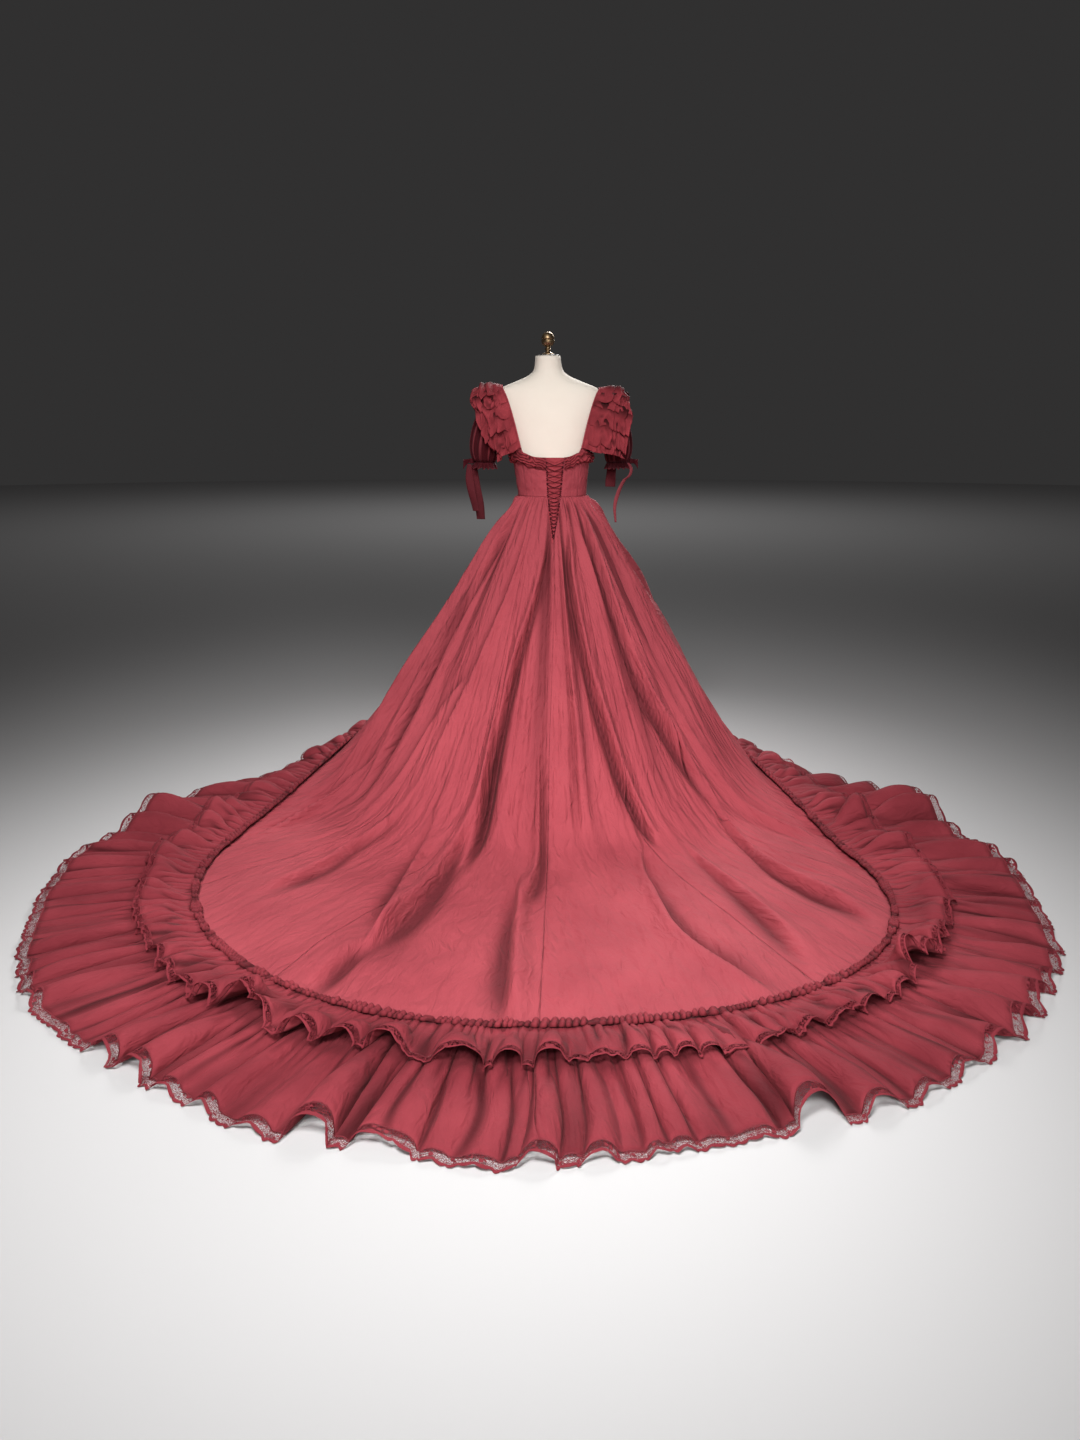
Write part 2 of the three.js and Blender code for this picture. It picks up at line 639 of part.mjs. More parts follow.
for (const [word, side] of [['left', -1], ['right', 1]]) {
  add(gown, `strap_${word}`, strap(side), 'cotton');
  add(gown, `sleeve_${word}`, sleeve(side), 'velvet');
  add(gown, `cuff_${word}`, cuff(side), 'velvet');
  for (const [place, shape] of Object.entries(ruffles)) {
    add(gown, `ruffle_${place}_${word}`, ruffle(side, shape), 'flounce');
  }
  add(gown, `bow_${word}`, bowLoops(side), 'velvet');
  tails[word].forEach((row, k) => add(gown, `ribbon_tail_${word}_${k + 1}`, tail(side, row), 'velvet'));
}

export default dressAndForm;
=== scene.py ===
import bmesh
import bpy
import numpy as np
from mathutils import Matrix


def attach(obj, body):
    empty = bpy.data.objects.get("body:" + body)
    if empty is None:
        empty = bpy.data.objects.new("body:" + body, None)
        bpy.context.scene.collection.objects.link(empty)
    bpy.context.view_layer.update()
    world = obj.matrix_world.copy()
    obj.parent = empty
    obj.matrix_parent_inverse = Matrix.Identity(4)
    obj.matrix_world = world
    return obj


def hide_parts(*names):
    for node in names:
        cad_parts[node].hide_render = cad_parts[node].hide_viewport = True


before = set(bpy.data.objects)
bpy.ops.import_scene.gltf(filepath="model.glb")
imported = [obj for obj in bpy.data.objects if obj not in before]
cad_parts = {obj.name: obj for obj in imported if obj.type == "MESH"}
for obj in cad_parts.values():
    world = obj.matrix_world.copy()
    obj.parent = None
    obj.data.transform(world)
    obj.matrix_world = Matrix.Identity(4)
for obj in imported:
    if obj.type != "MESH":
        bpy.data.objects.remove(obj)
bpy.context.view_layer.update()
scene = bpy.context.scene
scene.view_settings.view_transform = "Standard"
print("frame loaded")

view = {"place": (-0.038, -4.456, 1.4), "pitchDown": 14.34, "lens": 29.08, "sensor": 36}
camera = bpy.data.objects.new("camera", bpy.data.cameras.new("camera"))
camera.location = view["place"]
camera.rotation_euler = (np.radians(90 - view["pitchDown"]), 0, 0)
camera.data.lens = view["lens"]
camera.data.sensor_width = view["sensor"]
scene.collection.objects.link(camera)
scene.camera = camera


# Small mathematics on whole arrays
def smooth(a, b, x):
    # 0 below a, 1 above b, an S-shaped step between
    t = np.clip((x - a) / (b - a), 0, 1)
    return t * t * (3 - 2 * t)


def mix(a, b, t):
    return a + (b - a) * t


def bump(x, centre, width):
    # a bell of height 1
    return np.exp(-(((x - centre) / width) ** 2))


def humps(x, rows):
    # bells added up; a row holds a height, a centre and a width
    return sum(height * bump(x, centre, width) for height, centre, width in rows)


def turnBack(angle):
    # the same angle between -180 and 180
    return (np.asarray(angle) + 540) % 360 - 180


def readTable(rows, x, column=1):
    # a curve through the rows: cubic pieces, each with the mean slope of its neighbours at its ends
    table = np.array(rows, float)
    keys, values = table[:, 0], table[:, column]
    last = len(keys) - 1
    before, after = np.maximum(0, np.arange(last + 1) - 1), np.minimum(last, np.arange(last + 1) + 1)
    slopes = (values[after] - values[before]) / (keys[after] - keys[before])
    i = np.clip(np.searchsorted(keys, x) - 1, 0, last - 1)
    h = keys[i + 1] - keys[i]
    t = np.clip((x - keys[i]) / h, 0, 1)
    start = (1 + 2 * t) * (1 - t) ** 2 * values[i] + t * (1 - t) ** 2 * h * slopes[i]
    return start + t * t * (3 - 2 * t) * values[i + 1] + t * t * (t - 1) * h * slopes[i + 1]


def readColumns(rows, x):
    return [readTable(rows, x, column) for column in range(1, len(rows[0]))]


def ringNoise(turn, cells, seed):
    # a smooth random value from -1 to 1 round a ring with that many humps; turn is in whole turns
    values = np.random.default_rng(seed).uniform(-1, 1, cells)
    place = (np.asarray(turn) % 1.0) * cells
    i = np.floor(place).astype(int)
    t = smooth(0, 1, place - i)
    return mix(values[i % cells], values[(i + 1) % cells], t)


def planeNoise(x, y, seed, cells=97):
    # a smooth random value from -1 to 1 with humps of size 1, repeating after that many cells
    values = np.random.default_rng(seed).uniform(-1, 1, (cells, cells))
    x, y = np.broadcast_arrays(np.asarray(x, float) + 4000, np.asarray(y, float) + 4000)
    i, j = np.floor(x).astype(int), np.floor(y).astype(int)
    s, t = smooth(0, 1, x - i), smooth(0, 1, y - j)
    low = mix(values[j % cells, i % cells], values[j % cells, (i + 1) % cells], s)
    high = mix(values[(j + 1) % cells, i % cells], values[(j + 1) % cells, (i + 1) % cells], s)
    return mix(low, high, t)


def layeredNoise(x, y, rows):
    # plane noises added up; a row holds a height, a hump's size across, a slant, humps along and a seed
    return sum(height * planeNoise(x / size + slant * y, y * along, seed)
               for height, size, slant, along, seed in rows)


def point(x, y, z):
    return np.stack(np.broadcast_arrays(x, y, z), -1)


def unit(vectors):
    return vectors / np.maximum(1e-12, np.linalg.norm(vectors, axis=-1, keepdims=True))


def grid(columns, rows, closed=False):
    # two parameters from 0 to 1: s across and t along; a closed grid stops a cell before its start
    across = np.linspace(0, 1, columns + 1)[:columns if closed else None]
    return np.meshgrid(across, np.linspace(0, 1, rows + 1))


def smoothPath(points, steps):
    # a curve through points, by length along them
    rows = np.asarray(points, float)
    place = np.concatenate([[0], np.cumsum(np.linalg.norm(np.diff(rows, axis=0), axis=1))])
    at = np.linspace(0, place[-1], steps)
    return np.stack([readTable(np.column_stack([place, column]), at) for column in rows.T], -1)


def raised(surface, s, t, height, step=1e-3):
    # points of surface(s, t) moved by height along its normal, the cross product of its two slopes
    across = surface(s + step, t) - surface(s - step, t)
    along = surface(s, t + step) - surface(s, t - step)
    return surface(s, t) + height[..., None] * unit(np.cross(across, along))


# Materials: a base colour that drifts a little, crinkles and a weave as bump, and sheen on the nap
def feed(material, node, inputs):
    # an input gets a plain value, or a link from another node's output
    for key, value in inputs.items():
        if isinstance(value, bpy.types.NodeSocket):
            material.node_tree.links.new(value, node.inputs[key])
        else:
            node.inputs[key].default_value = value


def made(material, kind, output, inputs=None, **settings):
    node = material.node_tree.nodes.new("ShaderNode" + kind)
    for key, value in settings.items():
        setattr(node, key, value)
    feed(material, node, inputs or {})
    return node.outputs[output]


def newMaterial(name):
    material = bpy.data.materials.new(name)
    material.use_nodes = True
    return material, material.node_tree.nodes["Principled BSDF"]


def twoColors(material, look, share, low, high):
    # the look's deep colour up to the low share, its own colour from the high share on
    color = made(material, "ValToRGB", "Color", {"Fac": share})
    for end, position, key in zip(color.node.color_ramp.elements, (low, high), ("deep", "color")):
        end.position = position
        end.color = (*look[key], 1)
    return color


def mixed(material, share, first, second):
    # a Mix node's colours are its inputs 6 and 7 and its output 2
    return made(material, "Mix", 2, {0: share, 6: first, 7: second}, data_type="RGBA")


def deepened(look, share):
    return (*[look[share] * c for c in look["deep"]], 1)


def mark(material, name):
    return made(material, "Attribute", "Fac", attribute_name=name)


def noise(material, vector, scale, detail, distortion=0.0):
    inputs = {"Vector": vector, "Scale": scale, "Detail": detail, "Distortion": distortion}
    return made(material, "TexNoise", "Fac", inputs)


def clothMaterial(name, look):
    material, shader = newMaterial(name)
    place = made(material, "TexCoord", "Object")
    cut = place.node.outputs["UV"]
    drift = noise(material, place, look["driftScale"], 5.0)
    color = twoColors(material, look, drift, 0.3, 0.7)
    # seams: a darker line where the distance to the nearest seam is under the seam's width
    width = look["seamWidth"]
    nearSeam = made(material, "MapRange", "Result", {
        "Value": mark(material, "seam"), "From Min": width * 0.3, "From Max": width})
    color = mixed(material, nearSeam, deepened(look, "seamShade"), color)
    # a painted highlight makes the colour paler where the crest mark is set, and painted shade deepens the
    # colour in the folds' hollows
    color = mixed(material, mark(material, "crest"), color, (*look["crest"], 1))
    color = mixed(material, mark(material, "paintedShade"), color, deepened(look, "paintedShade"))
    # crinkles run along the cloth, so the noise is stretched along the piece's own length
    stretch = made(material, "Mapping", "Vector", {"Vector": cut, "Scale": (*look["crinkleScale"], 1)})
    crinkle = noise(material, stretch, 1.0, 6.0, 0.6)
    weave = noise(material, cut, look["weaveScale"], 2.0)
    relief = {"Strength": 1.0}
    for height, depth in ((crinkle, "crinkleDepth"), (weave, "weaveDepth"), (nearSeam, "seamDepth")):
        relief.update({"Height": height, "Distance": look[depth]})
        relief["Normal"] = made(material, "Bump", "Normal", relief)
    feed(material, shader, {
        "Base Color": color, "Normal": relief["Normal"], "Roughness": look["roughness"],
        "Sheen Weight": look["sheen"], "Sheen Roughness": look["sheenRoughness"],
        "Sheen Tint": (*look["sheenColor"], 1), "Specular IOR Level": look["gloss"]})
    return material


def laceMaterial(name, look):
    # a net of small cells with flower-shaped solid patches, between two solid edges; the rest is open
    material = clothMaterial(name, look)
    cut = made(material, "TexCoord", "UV")

    def compared(operation, first, second):
        return made(material, "Math", 0, {0: first, 1: second}, operation=operation)

    def cells(feature, scale):
        return made(material, "TexVoronoi", "Distance", {"Vector": cut, "Scale": scale}, feature=feature)

    thread = compared("LESS_THAN", cells("DISTANCE_TO_EDGE", look["netScale"]), look["thread"])
    petal = compared("LESS_THAN", cells("F1", look["flowerScale"]), look["petal"])
    edge = compared("GREATER_THAN", mark(material, "border"), look["border"])
    opaque = compared("MAXIMUM", compared("MAXIMUM", thread, petal), edge)
    feed(material, material.node_tree.nodes["Principled BSDF"], {"Alpha": opaque})
    return material


def metalMaterial(name, look):
    material, shader = newMaterial(name)
    place = made(material, "TexCoord", "Object")
    wear = noise(material, place, look["scale"], 6.0)
    low, high = look["roughness"]
    rough = made(material, "MapRange", "Result", {"Value": wear, "To Min": low, "To Max": high})
    color = twoColors(material, look, wear, 0.35, 0.65)
    feed(material, shader, {"Metallic": 1.0, "Base Color": color, "Roughness": rough})
    return material


cottonLook = {
    "color": (0.385, 0.064, 0.08), "deep": (0.31, 0.048, 0.062), "crest": (0.5, 0.08, 0.09),
    "paintedShade": 0.42, "roughness": 0.8, "gloss": 0.1, "sheen": 0.04, "sheenColor": (0.9, 0.45, 0.45),
    "sheenRoughness": 0.45, "driftScale": 3.5, "crinkleScale": (36, 11), "crinkleDepth": 0.013,
    "weaveScale": 500.0, "weaveDepth": 0.0004, "seamWidth": 0.0012, "seamShade": 0.86, "seamDepth": 0.0002,
}
# the flounce cotton is the gown's cloth made darker, a painted shade for its deep folds
shadedFlounceLook = dict(cottonLook, color=(0.3, 0.043, 0.056), deep=(0.19, 0.024, 0.033), paintedShade=0.22,
                   crinkleScale=(38, 12), crinkleDepth=0.011)
ruffleLook = dict(cottonLook, color=(0.35, 0.046, 0.058), deep=(0.24, 0.029, 0.038), paintedShade=0.17,
                  crinkleScale=(34, 20), crinkleDepth=0.01, driftScale=16.0)
bodiceLook = dict(cottonLook, crinkleScale=(60, 22), crinkleDepth=0.0035, driftScale=9.0)
# the velvet's crest colour is a painted highlight, for the light that pleat crests and turned ribbons catch
velvetLook = dict(cottonLook, color=(0.062, 0.005, 0.009), deep=(0.036, 0.004, 0.006),
                  crest=(0.3, 0.055, 0.068), sheen=0.12, sheenColor=(0.75, 0.25, 0.3), crinkleDepth=0.002)
cordLook = dict(cottonLook, color=(0.055, 0.005, 0.009), deep=(0.04, 0.004, 0.007), sheen=0.05,
                crinkleDepth=0.0005)
laceLook = dict(cottonLook, color=(0.25, 0.034, 0.046), deep=(0.18, 0.022, 0.031), crinkleDepth=0.0008,
                netScale=200.0, thread=0.065, flowerScale=58.0, petal=0.27, border=0.74)
jerseyLook = dict(cottonLook, color=(0.88, 0.8, 0.7), deep=(0.84, 0.75, 0.65), crest=(0.88, 0.8, 0.7),
                  paintedShade=1.0, gloss=0.2, sheen=0.15, sheenColor=(1, 0.97, 0.92), driftScale=6.0,
                  crinkleScale=(30, 30), crinkleDepth=0.0006, weaveScale=900.0, weaveDepth=0.0003)
materials = {
    "cotton": clothMaterial("gown cotton", cottonLook),
    "bodice": clothMaterial("bodice cotton", bodiceLook),
    "flounce": clothMaterial("flounce cotton", shadedFlounceLook),
    "ruffle": clothMaterial("ruffle cotton", ruffleLook),
    "velvet": clothMaterial("sleeve velvet", velvetLook),
    "cord": clothMaterial("lacing cord", cordLook),
    "lace": laceMaterial("scalloped lace", laceLook),
    "jersey": clothMaterial("form jersey", jerseyLook),
    "brass": metalMaterial("finial brass", {"color": (0.46, 0.32, 0.18), "deep": (0.2, 0.13, 0.07),
                                            "roughness": (0.32, 0.55), "scale": 60.0}),
    "steel": metalMaterial("stand steel", {"color": (0.36, 0.34, 0.33), "deep": (0.2, 0.19, 0.18),
                                           "roughness": (0.3, 0.5), "scale": 40.0}),
}
print("materials made")

counts = {"triangles": 0}
leastFill = 0.31  # a sheet covers at least this share of its width times its length


def gridObject(name, points, closed=False, caps=False, inside=(0, 0, 0.9), marks=None, even=False):
    # one quad for each cell of the grid; UV is the cloth's own length across and along, in metres
    rows, columns = points.shape[:2]
    index = np.arange(rows * columns).reshape(rows, columns)
    looped = points
    if closed:
        index = np.concatenate([index, index[:, :1]], axis=1)
        looped = np.concatenate([points, points[:, :1]], axis=1)
    quads = np.stack([index[:-1, :-1], index[:-1, 1:], index[1:, 1:], index[1:, :-1]], -1).reshape(-1, 4)
    across = np.linalg.norm(np.diff(looped, axis=1), axis=2)
    along = np.linalg.norm(np.diff(looped, axis=0), axis=2)
    u = np.concatenate([np.zeros((rows, 1)), np.cumsum(across, axis=1)], axis=1)
    v = np.concatenate([np.zeros((1, looped.shape[1])), np.cumsum(along, axis=0)], axis=0)
    # a gathered length is as wide at its head as at its edge, a gore is laid out from its middle
    u = np.broadcast_to(u.mean(axis=0), u.shape) if even else u - u[:, -1:] / 2
    v = np.broadcast_to(v.mean(axis=1, keepdims=True), v.shape)
    uv = np.stack([u, v], -1)
    corners = np.stack([uv[:-1, :-1], uv[:-1, 1:], uv[1:, 1:], uv[1:, :-1]], 2).reshape(-1, 4, 2)
    flat = points.reshape(-1, 3)
    a, b, c = (flat[quads[:, k]] for k in (0, 1, 3))
    outwards = np.sum(np.cross(b - a, c - a) * (a - np.array(inside)))
    rims = [index[0, :columns][::-1], index[-1, :columns]] if caps else []
    if outwards < 0:
        quads = quads[:, ::-1]
        corners = corners[:, ::-1]
        rims = [rim[::-1] for rim in rims]
    mesh = bpy.data.meshes.new(name)
    mesh.vertices.add(len(flat))
    mesh.vertices.foreach_set("co", flat.astype(np.float32).ravel())
    loops = np.concatenate([quads.ravel()] + [r.ravel() for r in rims])
    sizes = np.array([4] * len(quads) + [columns] * len(rims))
    mesh.loops.add(len(loops))
    mesh.loops.foreach_set("vertex_index", loops.astype(np.int32))
    mesh.polygons.add(len(sizes))
    mesh.polygons.foreach_set("loop_start", np.concatenate([[0], np.cumsum(sizes)[:-1]]).astype(np.int32))
    mesh.polygons.foreach_set("loop_total", sizes.astype(np.int32))
    layer = mesh.uv_layers.new(name="cut")
    filled = np.concatenate([corners.reshape(-1, 2), np.zeros((len(loops) - 4 * len(quads), 2))])
    layer.data.foreach_set("uv", filled.astype(np.float32).ravel())
    for key, values in (marks or {}).items():
        attribute = mesh.attributes.new(key, "FLOAT", "POINT")
        spread = np.broadcast_to(values, points.shape[:2]).astype(np.float32)
        attribute.data.foreach_set("value", spread.ravel())
    mesh.update(calc_edges=True)
    mesh.validate()
    mesh.shade_smooth()
    obj = bpy.data.objects.new(name, mesh)
    scene.collection.objects.link(obj)
    return obj, np.ptp(u, axis=1), v[-1]


def wear(obj, finish, nodes):
    # the finish, the body and the CAD nodes that the piece stands for
    obj.data.materials.append(materials[finish])
    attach(obj, "root")
    if nodes:
        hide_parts(*nodes)
    counts["triangles"] += 2 * len(obj.data.polygons)


def thicken(obj, thickness):
    wall = obj.modifiers.new("thickness", "SOLIDIFY")
    wall.thickness = thickness
    wall.offset = 0
    counts["triangles"] += 2 * len(obj.data.polygons)


def surfaceArea(points, closed=False):
    # the sum of the cells' cross products
    looped = np.concatenate([points, points[:, :1]], axis=1) if closed else points
    across, along = np.diff(looped, axis=1)[:-1], np.diff(looped, axis=0)[:, :-1]
    return float(np.linalg.norm(np.cross(across, along), axis=2).sum())


def cloth(name, points, finish, node, inside, marks=None, closed=False, even=False,
          thickness=0.001):
    # a piece of cloth: its middle surface with a wall's thickness, and the size that it was cut to
    marks = {"seam": 1.0, **(marks or {})}
    obj, widths, lengths = gridObject(name, points, closed, inside=inside, marks=marks, even=even)
    thicken(obj, thickness)
    wear(obj, finish, [node])
    surface = surfaceArea(points, closed)
    width, length = (max(0.0101, float(x.max())) for x in (widths, lengths))
    width = min(width, surface / (leastFill * length))


# The form's skin: an ellipse at each height, from a table of half width and depth to the back and front
form = {
    "waistHeight": 1.135, "waistShift": 0.008, "lean": 0.034, "bottom": 0.83, "top": 1.636,
    "sections": [
        (0.83, 0.148, 0.104, 0.096), (0.88, 0.164, 0.116, 0.106), (0.96, 0.168, 0.118, 0.108),
        (1.06, 0.145, 0.104, 0.1), (1.135, 0.122, 0.09, 0.092), (1.18, 0.125, 0.09, 0.098),
        (1.24, 0.132, 0.094, 0.114), (1.3, 0.144, 0.098, 0.13), (1.36, 0.161, 0.1, 0.132),
        (1.42, 0.177, 0.098, 0.118), (1.465, 0.189, 0.091, 0.098), (1.5, 0.19, 0.083, 0.082),
        (1.524, 0.177, 0.075, 0.072), (1.543, 0.13, 0.069, 0.064), (1.562, 0.084, 0.062, 0.058),
        (1.58, 0.058, 0.055, 0.054), (1.6, 0.05, 0.05, 0.05), (1.636, 0.046, 0.046, 0.046),
    ],
}
bodiceOut = 0.007  # how far the bodice's middle lies outside the form


def formShift(z):
    return form["waistShift"] - form["lean"] * np.maximum(0, z - form["waistHeight"])


def formPoint(angle, z, out=0.0):
    # x = shift + (half width + out) times the sine, y = -(depth + out) times the cosine
    width, back, front = readColumns(form["sections"], z)
    c = -np.cos(np.radians(angle))
    depth = np.where(c < 0, back, front) + out
    return point(formShift(z) + (width + out) * np.sin(np.radians(angle)), depth * c, z)


def formValue(p):
    # 0 on the skin, positive outside
    width, back, front = readColumns(form["sections"], p[..., 2])
    depth = np.where(p[..., 1] < 0, back, front)
    return np.hypot((p[..., 0] - formShift(p[..., 2])) / width, p[..., 1] / depth) - 1


def onForm(points, out):
    # each point moved along the skin's slope until its value is 0, then outwards
    p = np.array(points, float)
    step = 0.0005
    for _ in range(8):
        value = formValue(p)
        slope = np.stack([(formValue(p + step * np.eye(3)[axis]) - value) / step for axis in range(3)], -1)
        p = p - slope * (value / np.sum(slope ** 2, axis=-1))[..., None]
    return p + unit(slope) * np.asarray(out)[..., None]


def makeForm():
    settings = {"around": 96, "rings": 72, "sideSeams": 92, "halfWidth": 0.1}
    s, t = grid(settings["around"], settings["rings"], closed=True)
    angle = 360 * s
    toSeam = np.radians(np.abs(np.abs(turnBack(angle)) - settings["sideSeams"])) * settings["halfWidth"]
    obj, _, _ = gridObject("form_cover", formPoint(angle, mix(form["bottom"], form["top"], t)), closed=True,
                           caps=True, inside=(0, 0, 1.2), marks={"seam": toSeam})
    wear(obj, "jersey", ["form_torso"])
    print("form made")


def lathe(name, profile, x, bottom, finish, node, around):
    # a profile of radius and height turned about a line parallel to Z
    rows = np.array(profile)
    radius, z = rows[:, 0:1], bottom + rows[:, 1:2]
    angle = np.linspace(0, 2 * np.pi, around + 1)[:-1]
    obj, _, _ = gridObject(name, point(x + radius * np.cos(angle), radius * np.sin(angle), z), closed=True,
                           caps=True, inside=(x, 0, float(z.mean())))
    wear(obj, finish, [node])


# radius and height of each turned piece, from its own bottom
stand = {
    "finial": [(.0211, .004), (.0211, .0085), (.0175, .0105), (.013, .012), (.01, .015), (.0085, .019),
               (.0105, .0215), (.0125, .024), (.01, .0265), (.008, .03), (.009, .0325), (.015, .035),
               (.02, .04), (.023, .047), (.024, .0535), (.0238, .056), (.0205, .0572), (.0205, .0588),
               (.0238, .06), (.024, .0625), (.0222, .069), (.0185, .076), (.0125, .0815), (.006, .0843),
               (.0004, .085)],
    "plate": [(.0005, .0003), (.041, .0003), (.0435, .0012), (.0435, .003), (.041, .0038), (.0005, .0038)],
    "foot": [(.0005, 0), (.208, 0), (.2105, .003), (.21, .007), (.204, .012), (.15, .0155), (.08, .019),
             (.06, .021), (.042, .025), (.033, .031), (.029, .045), (.026, .06), (.0005, .06)],
    "pole": [(.0005, .0603), (.013, .0603), (.013, .4), (.013, .8297), (.0005, .8297)],
}


def makeStand():
    top = form["top"]
    neckX = formShift(top)
    finial = smoothPath(stand["finial"], 72)
    finial[:, 0] = np.maximum(finial[:, 0], 0.0004)
    lathe("neck_finial", finial, neckX, top, "brass", "form_finial", 48)
    lathe("neck_plate", stand["plate"], neckX, top, "steel", "form_neck_plate", 64)
    lathe("stand_foot", stand["foot"], 0.0, 0.0, "steel", "form_base", 96)
    lathe("stand_pole", stand["pole"], 0.0, 0.0, "steel", "form_pole", 40)
    print("stand made")


# The skirt: straight lines from the waist to the flounces' seam, on a cone that turns out on the floor
skirt = {
    "train": (-0.04, -0.955), "hemRadius": 1.5, "flounceDepth": 0.44, "seamHeights": (0.03, 0.4),
    "coneSlope": 1.7, "flare": 0.15, "puff": 0.03, "puffReach": 0.05, "floorRest": 0.003,
    "floorSoft": 0.005, "rise": 0.016, "foldWidth": 0.82, "inside": (-0.04, -0.6, -0.4),
    # the seam lies further out or in: how far, angle, width; the second for both sides
    "laid": [(.055, 52, 26), (-.048, 98, 18), (-.018, 6, 14)], "laidBoth": [(-.03, 124, 20)],
    # height, degrees across a hump, slant, humps along, seed
    "wrinkles": [(.0075, 9, 0, 3.2, 20), (.005, 5.5, 0, 5, 21), (.0034, 2.3, 2, 9, 22),
                 (.0018, .9, -3, 26, 23)],
    # name, left and right edge in degrees, columns, rows
    "gores": [("back_left", -40, 0, 92, 102), ("back_right", 0, 40, 92, 102),
              ("side_back_left", -80, -40, 88, 102), ("side_back_right", 40, 80, 88, 102),
              ("side_left", -130, -80, 86, 80), ("side_right", 80, 130, 86, 80),
              ("front", 130, 230, 106, 60)],
    # troughs: side of the raised lip, depth, half width at both ends, path of share and angle
    "folds": [
        (1, .087, (.01, .055), [(.03, -134), (.13, -131), (.28, -130), (.53, -129), (.88, -125)]),
        (1, .032, (.008, .024), [(.02, -55), (.07, -50), (.17, -59), (.27, -68), (.36, -74)]),
        (-1, .049, (.009, .026), [(.04, -1), (.11, -14), (.18, -26), (.3, -31), (.48, -28)]),
        (-1, .029, (.006, .014), [(.2, -35), (.24, -34), (.3, -32), (.42, -28)]),
        (-1, .052, (.02, .05), [(.31, -31), (.42, -34), (.67, -30), (.98, -33)]),
        (1, .032, (.014, .032), [(.24, -70), (.32, -84), (.46, -88), (.6, -90)]),
        (-1, .038, (.008, .024), [(.27, -5), (.34, -3), (.46, -2), (.62, -4)]),
        (1, .041, (.014, .038), [(.53, -9), (.62, -8), (.74, -7), (1.0, -5)]),
        (1, .046, (.008, .022), [(.02, 35), (.08, 24), (.18, 28), (.28, 36), (.43, 44)]),
        (1, .026, (.006, .012), [(.3, 37), (.34, 40), (.38, 42), (.44, 43)]),
        (-1, .043, (.012, .04), [(.43, 38), (.5, 33), (.6, 30), (.78, 28), (.98, 34)]),
        (1, .049, (.009, .026), [(.03, 75), (.07, 69), (.24, 69), (.35, 77), (.5, 82)]),
        (-1, .058, (.012, .042), [(.04, 110), (.19, 104), (.38, 99), (.59, 100), (.95, 104)]),
        (1, .038, (.016, .04), [(.49, 84), (.6, 75), (.7, 66), (.96, 62)]),
        (1, .038, (.025, .04), [(.6, -115), (.77, -116), (.96, -98)]),
        (1, .038, (.018, .044), [(.38, -56), (.48, -50), (.62, -42), (.76, -35), (.95, -32)]),
        (-1, .032, (.022, .04), [(.44, -70), (.57, -72), (.69, -67), (.86, -65)]),
        (1, .032, (.016, .04), [(.48, 52), (.6, 49), (.74, 46), (.94, 41)]),
        (-1, .049, (.01, .04), [(.02, -92), (.16, -104), (.3, -110), (.46, -108), (.62, -104)]),
        (-1, .035, (.008, .02), [(.05, 58), (.12, 62), (.22, 66), (.34, 62)]),
        (1, .02, (.008, .02), [(.04, 13), (.14, 14), (.26, 15), (.4, 13)]),
        (1, .052, (.01, .04), [(.02, 152), (.5, 150), (.92, 150)]),
        (-1, .052, (.01, .04), [(.02, -158), (.5, -156), (.92, -158)]),
        (1, .046, (.01, .036), [(.02, 178), (.5, 176), (.92, 178)]),
        (-1, .043, (.008, .034), [(.02, 130), (.4, 126), (.8, 128)]),
    ],
}
# gathers under the waist seam, in three sizes; the fuller places and the places with stronger painted shade
# as height, angle and width
gathers = {
    "count": 27, "height": 0.0085, "reach": 0.14, "fineCount": 74, "fineHeight": 0.0028,
    "longCount": 17, "longHeight": 0.015, "longReach": 0.42,
    "fuller": [(.9, 50, 28), (.4, -62, 26), (.3, 12, 12)], "darker": [(1.4, 50, 28), (.7, -62, 26)],
}


def onTrain(angle, radius, z):
    a = np.radians(angle)
    return point(skirt["train"][0] + radius * np.sin(a), skirt["train"][1] - radius * np.cos(a), z)


def seamHeight(angle):
    return mix(*skirt["seamHeights"], smooth(95, 180, np.abs(angle)) ** 1.1)


def seamPoint(angle):
    # where skirt and flounces meet: as far inside the hem as a flounce reaches from there to the floor
    angle = turnBack(angle)
    z = seamHeight(angle)
    hung = skirt["hemRadius"] - np.sqrt(np.maximum(0, skirt["flounceDepth"] ** 2 - z ** 2))
    laid = humps(angle, skirt["laid"]) + humps(np.abs(angle), skirt["laidBoth"])
    return onTrain(angle, hung + laid, z)


def coneHeight(outward):
    # a straight slope that turns out softly on the floor: flare times the logarithm of 1 + e^(line / flare)
    puff = skirt["puff"] * (1 - np.exp(-outward / skirt["puffReach"]))
    line = form["waistHeight"] + puff - skirt["coneSlope"] * outward
    return skirt["flare"] * np.log1p(np.exp(line / skirt["flare"]))


def skirtBase(angle, u):
    # the plain cone: share u of the way from the waist ring to the seam
    end = seamPoint(angle)
    shift = form["waistShift"]
    turn = np.degrees(np.arctan2(end[..., 0] - shift, -end[..., 1]))
    start = formPoint(turn, form["waistHeight"] + 0 * turn, bodiceOut)
    x, y = mix(start[..., 0], end[..., 0], u), mix(start[..., 1], end[..., 1], u)
    reach = np.hypot(end[..., 0] - shift, end[..., 1]) - np.hypot(start[..., 0] - shift, start[..., 1])
    z = coneHeight(reach * u) + (form["waistHeight"] - coneHeight(0.0)) * (1 - u) ** 6
    z = z + (end[..., 2] - coneHeight(reach)) * np.abs(u) ** 3
    return point(x, y, z), turn


def perDegree(u):
    # metres across the cloth for each degree
    return mix(0.0012, 0.0185, u)


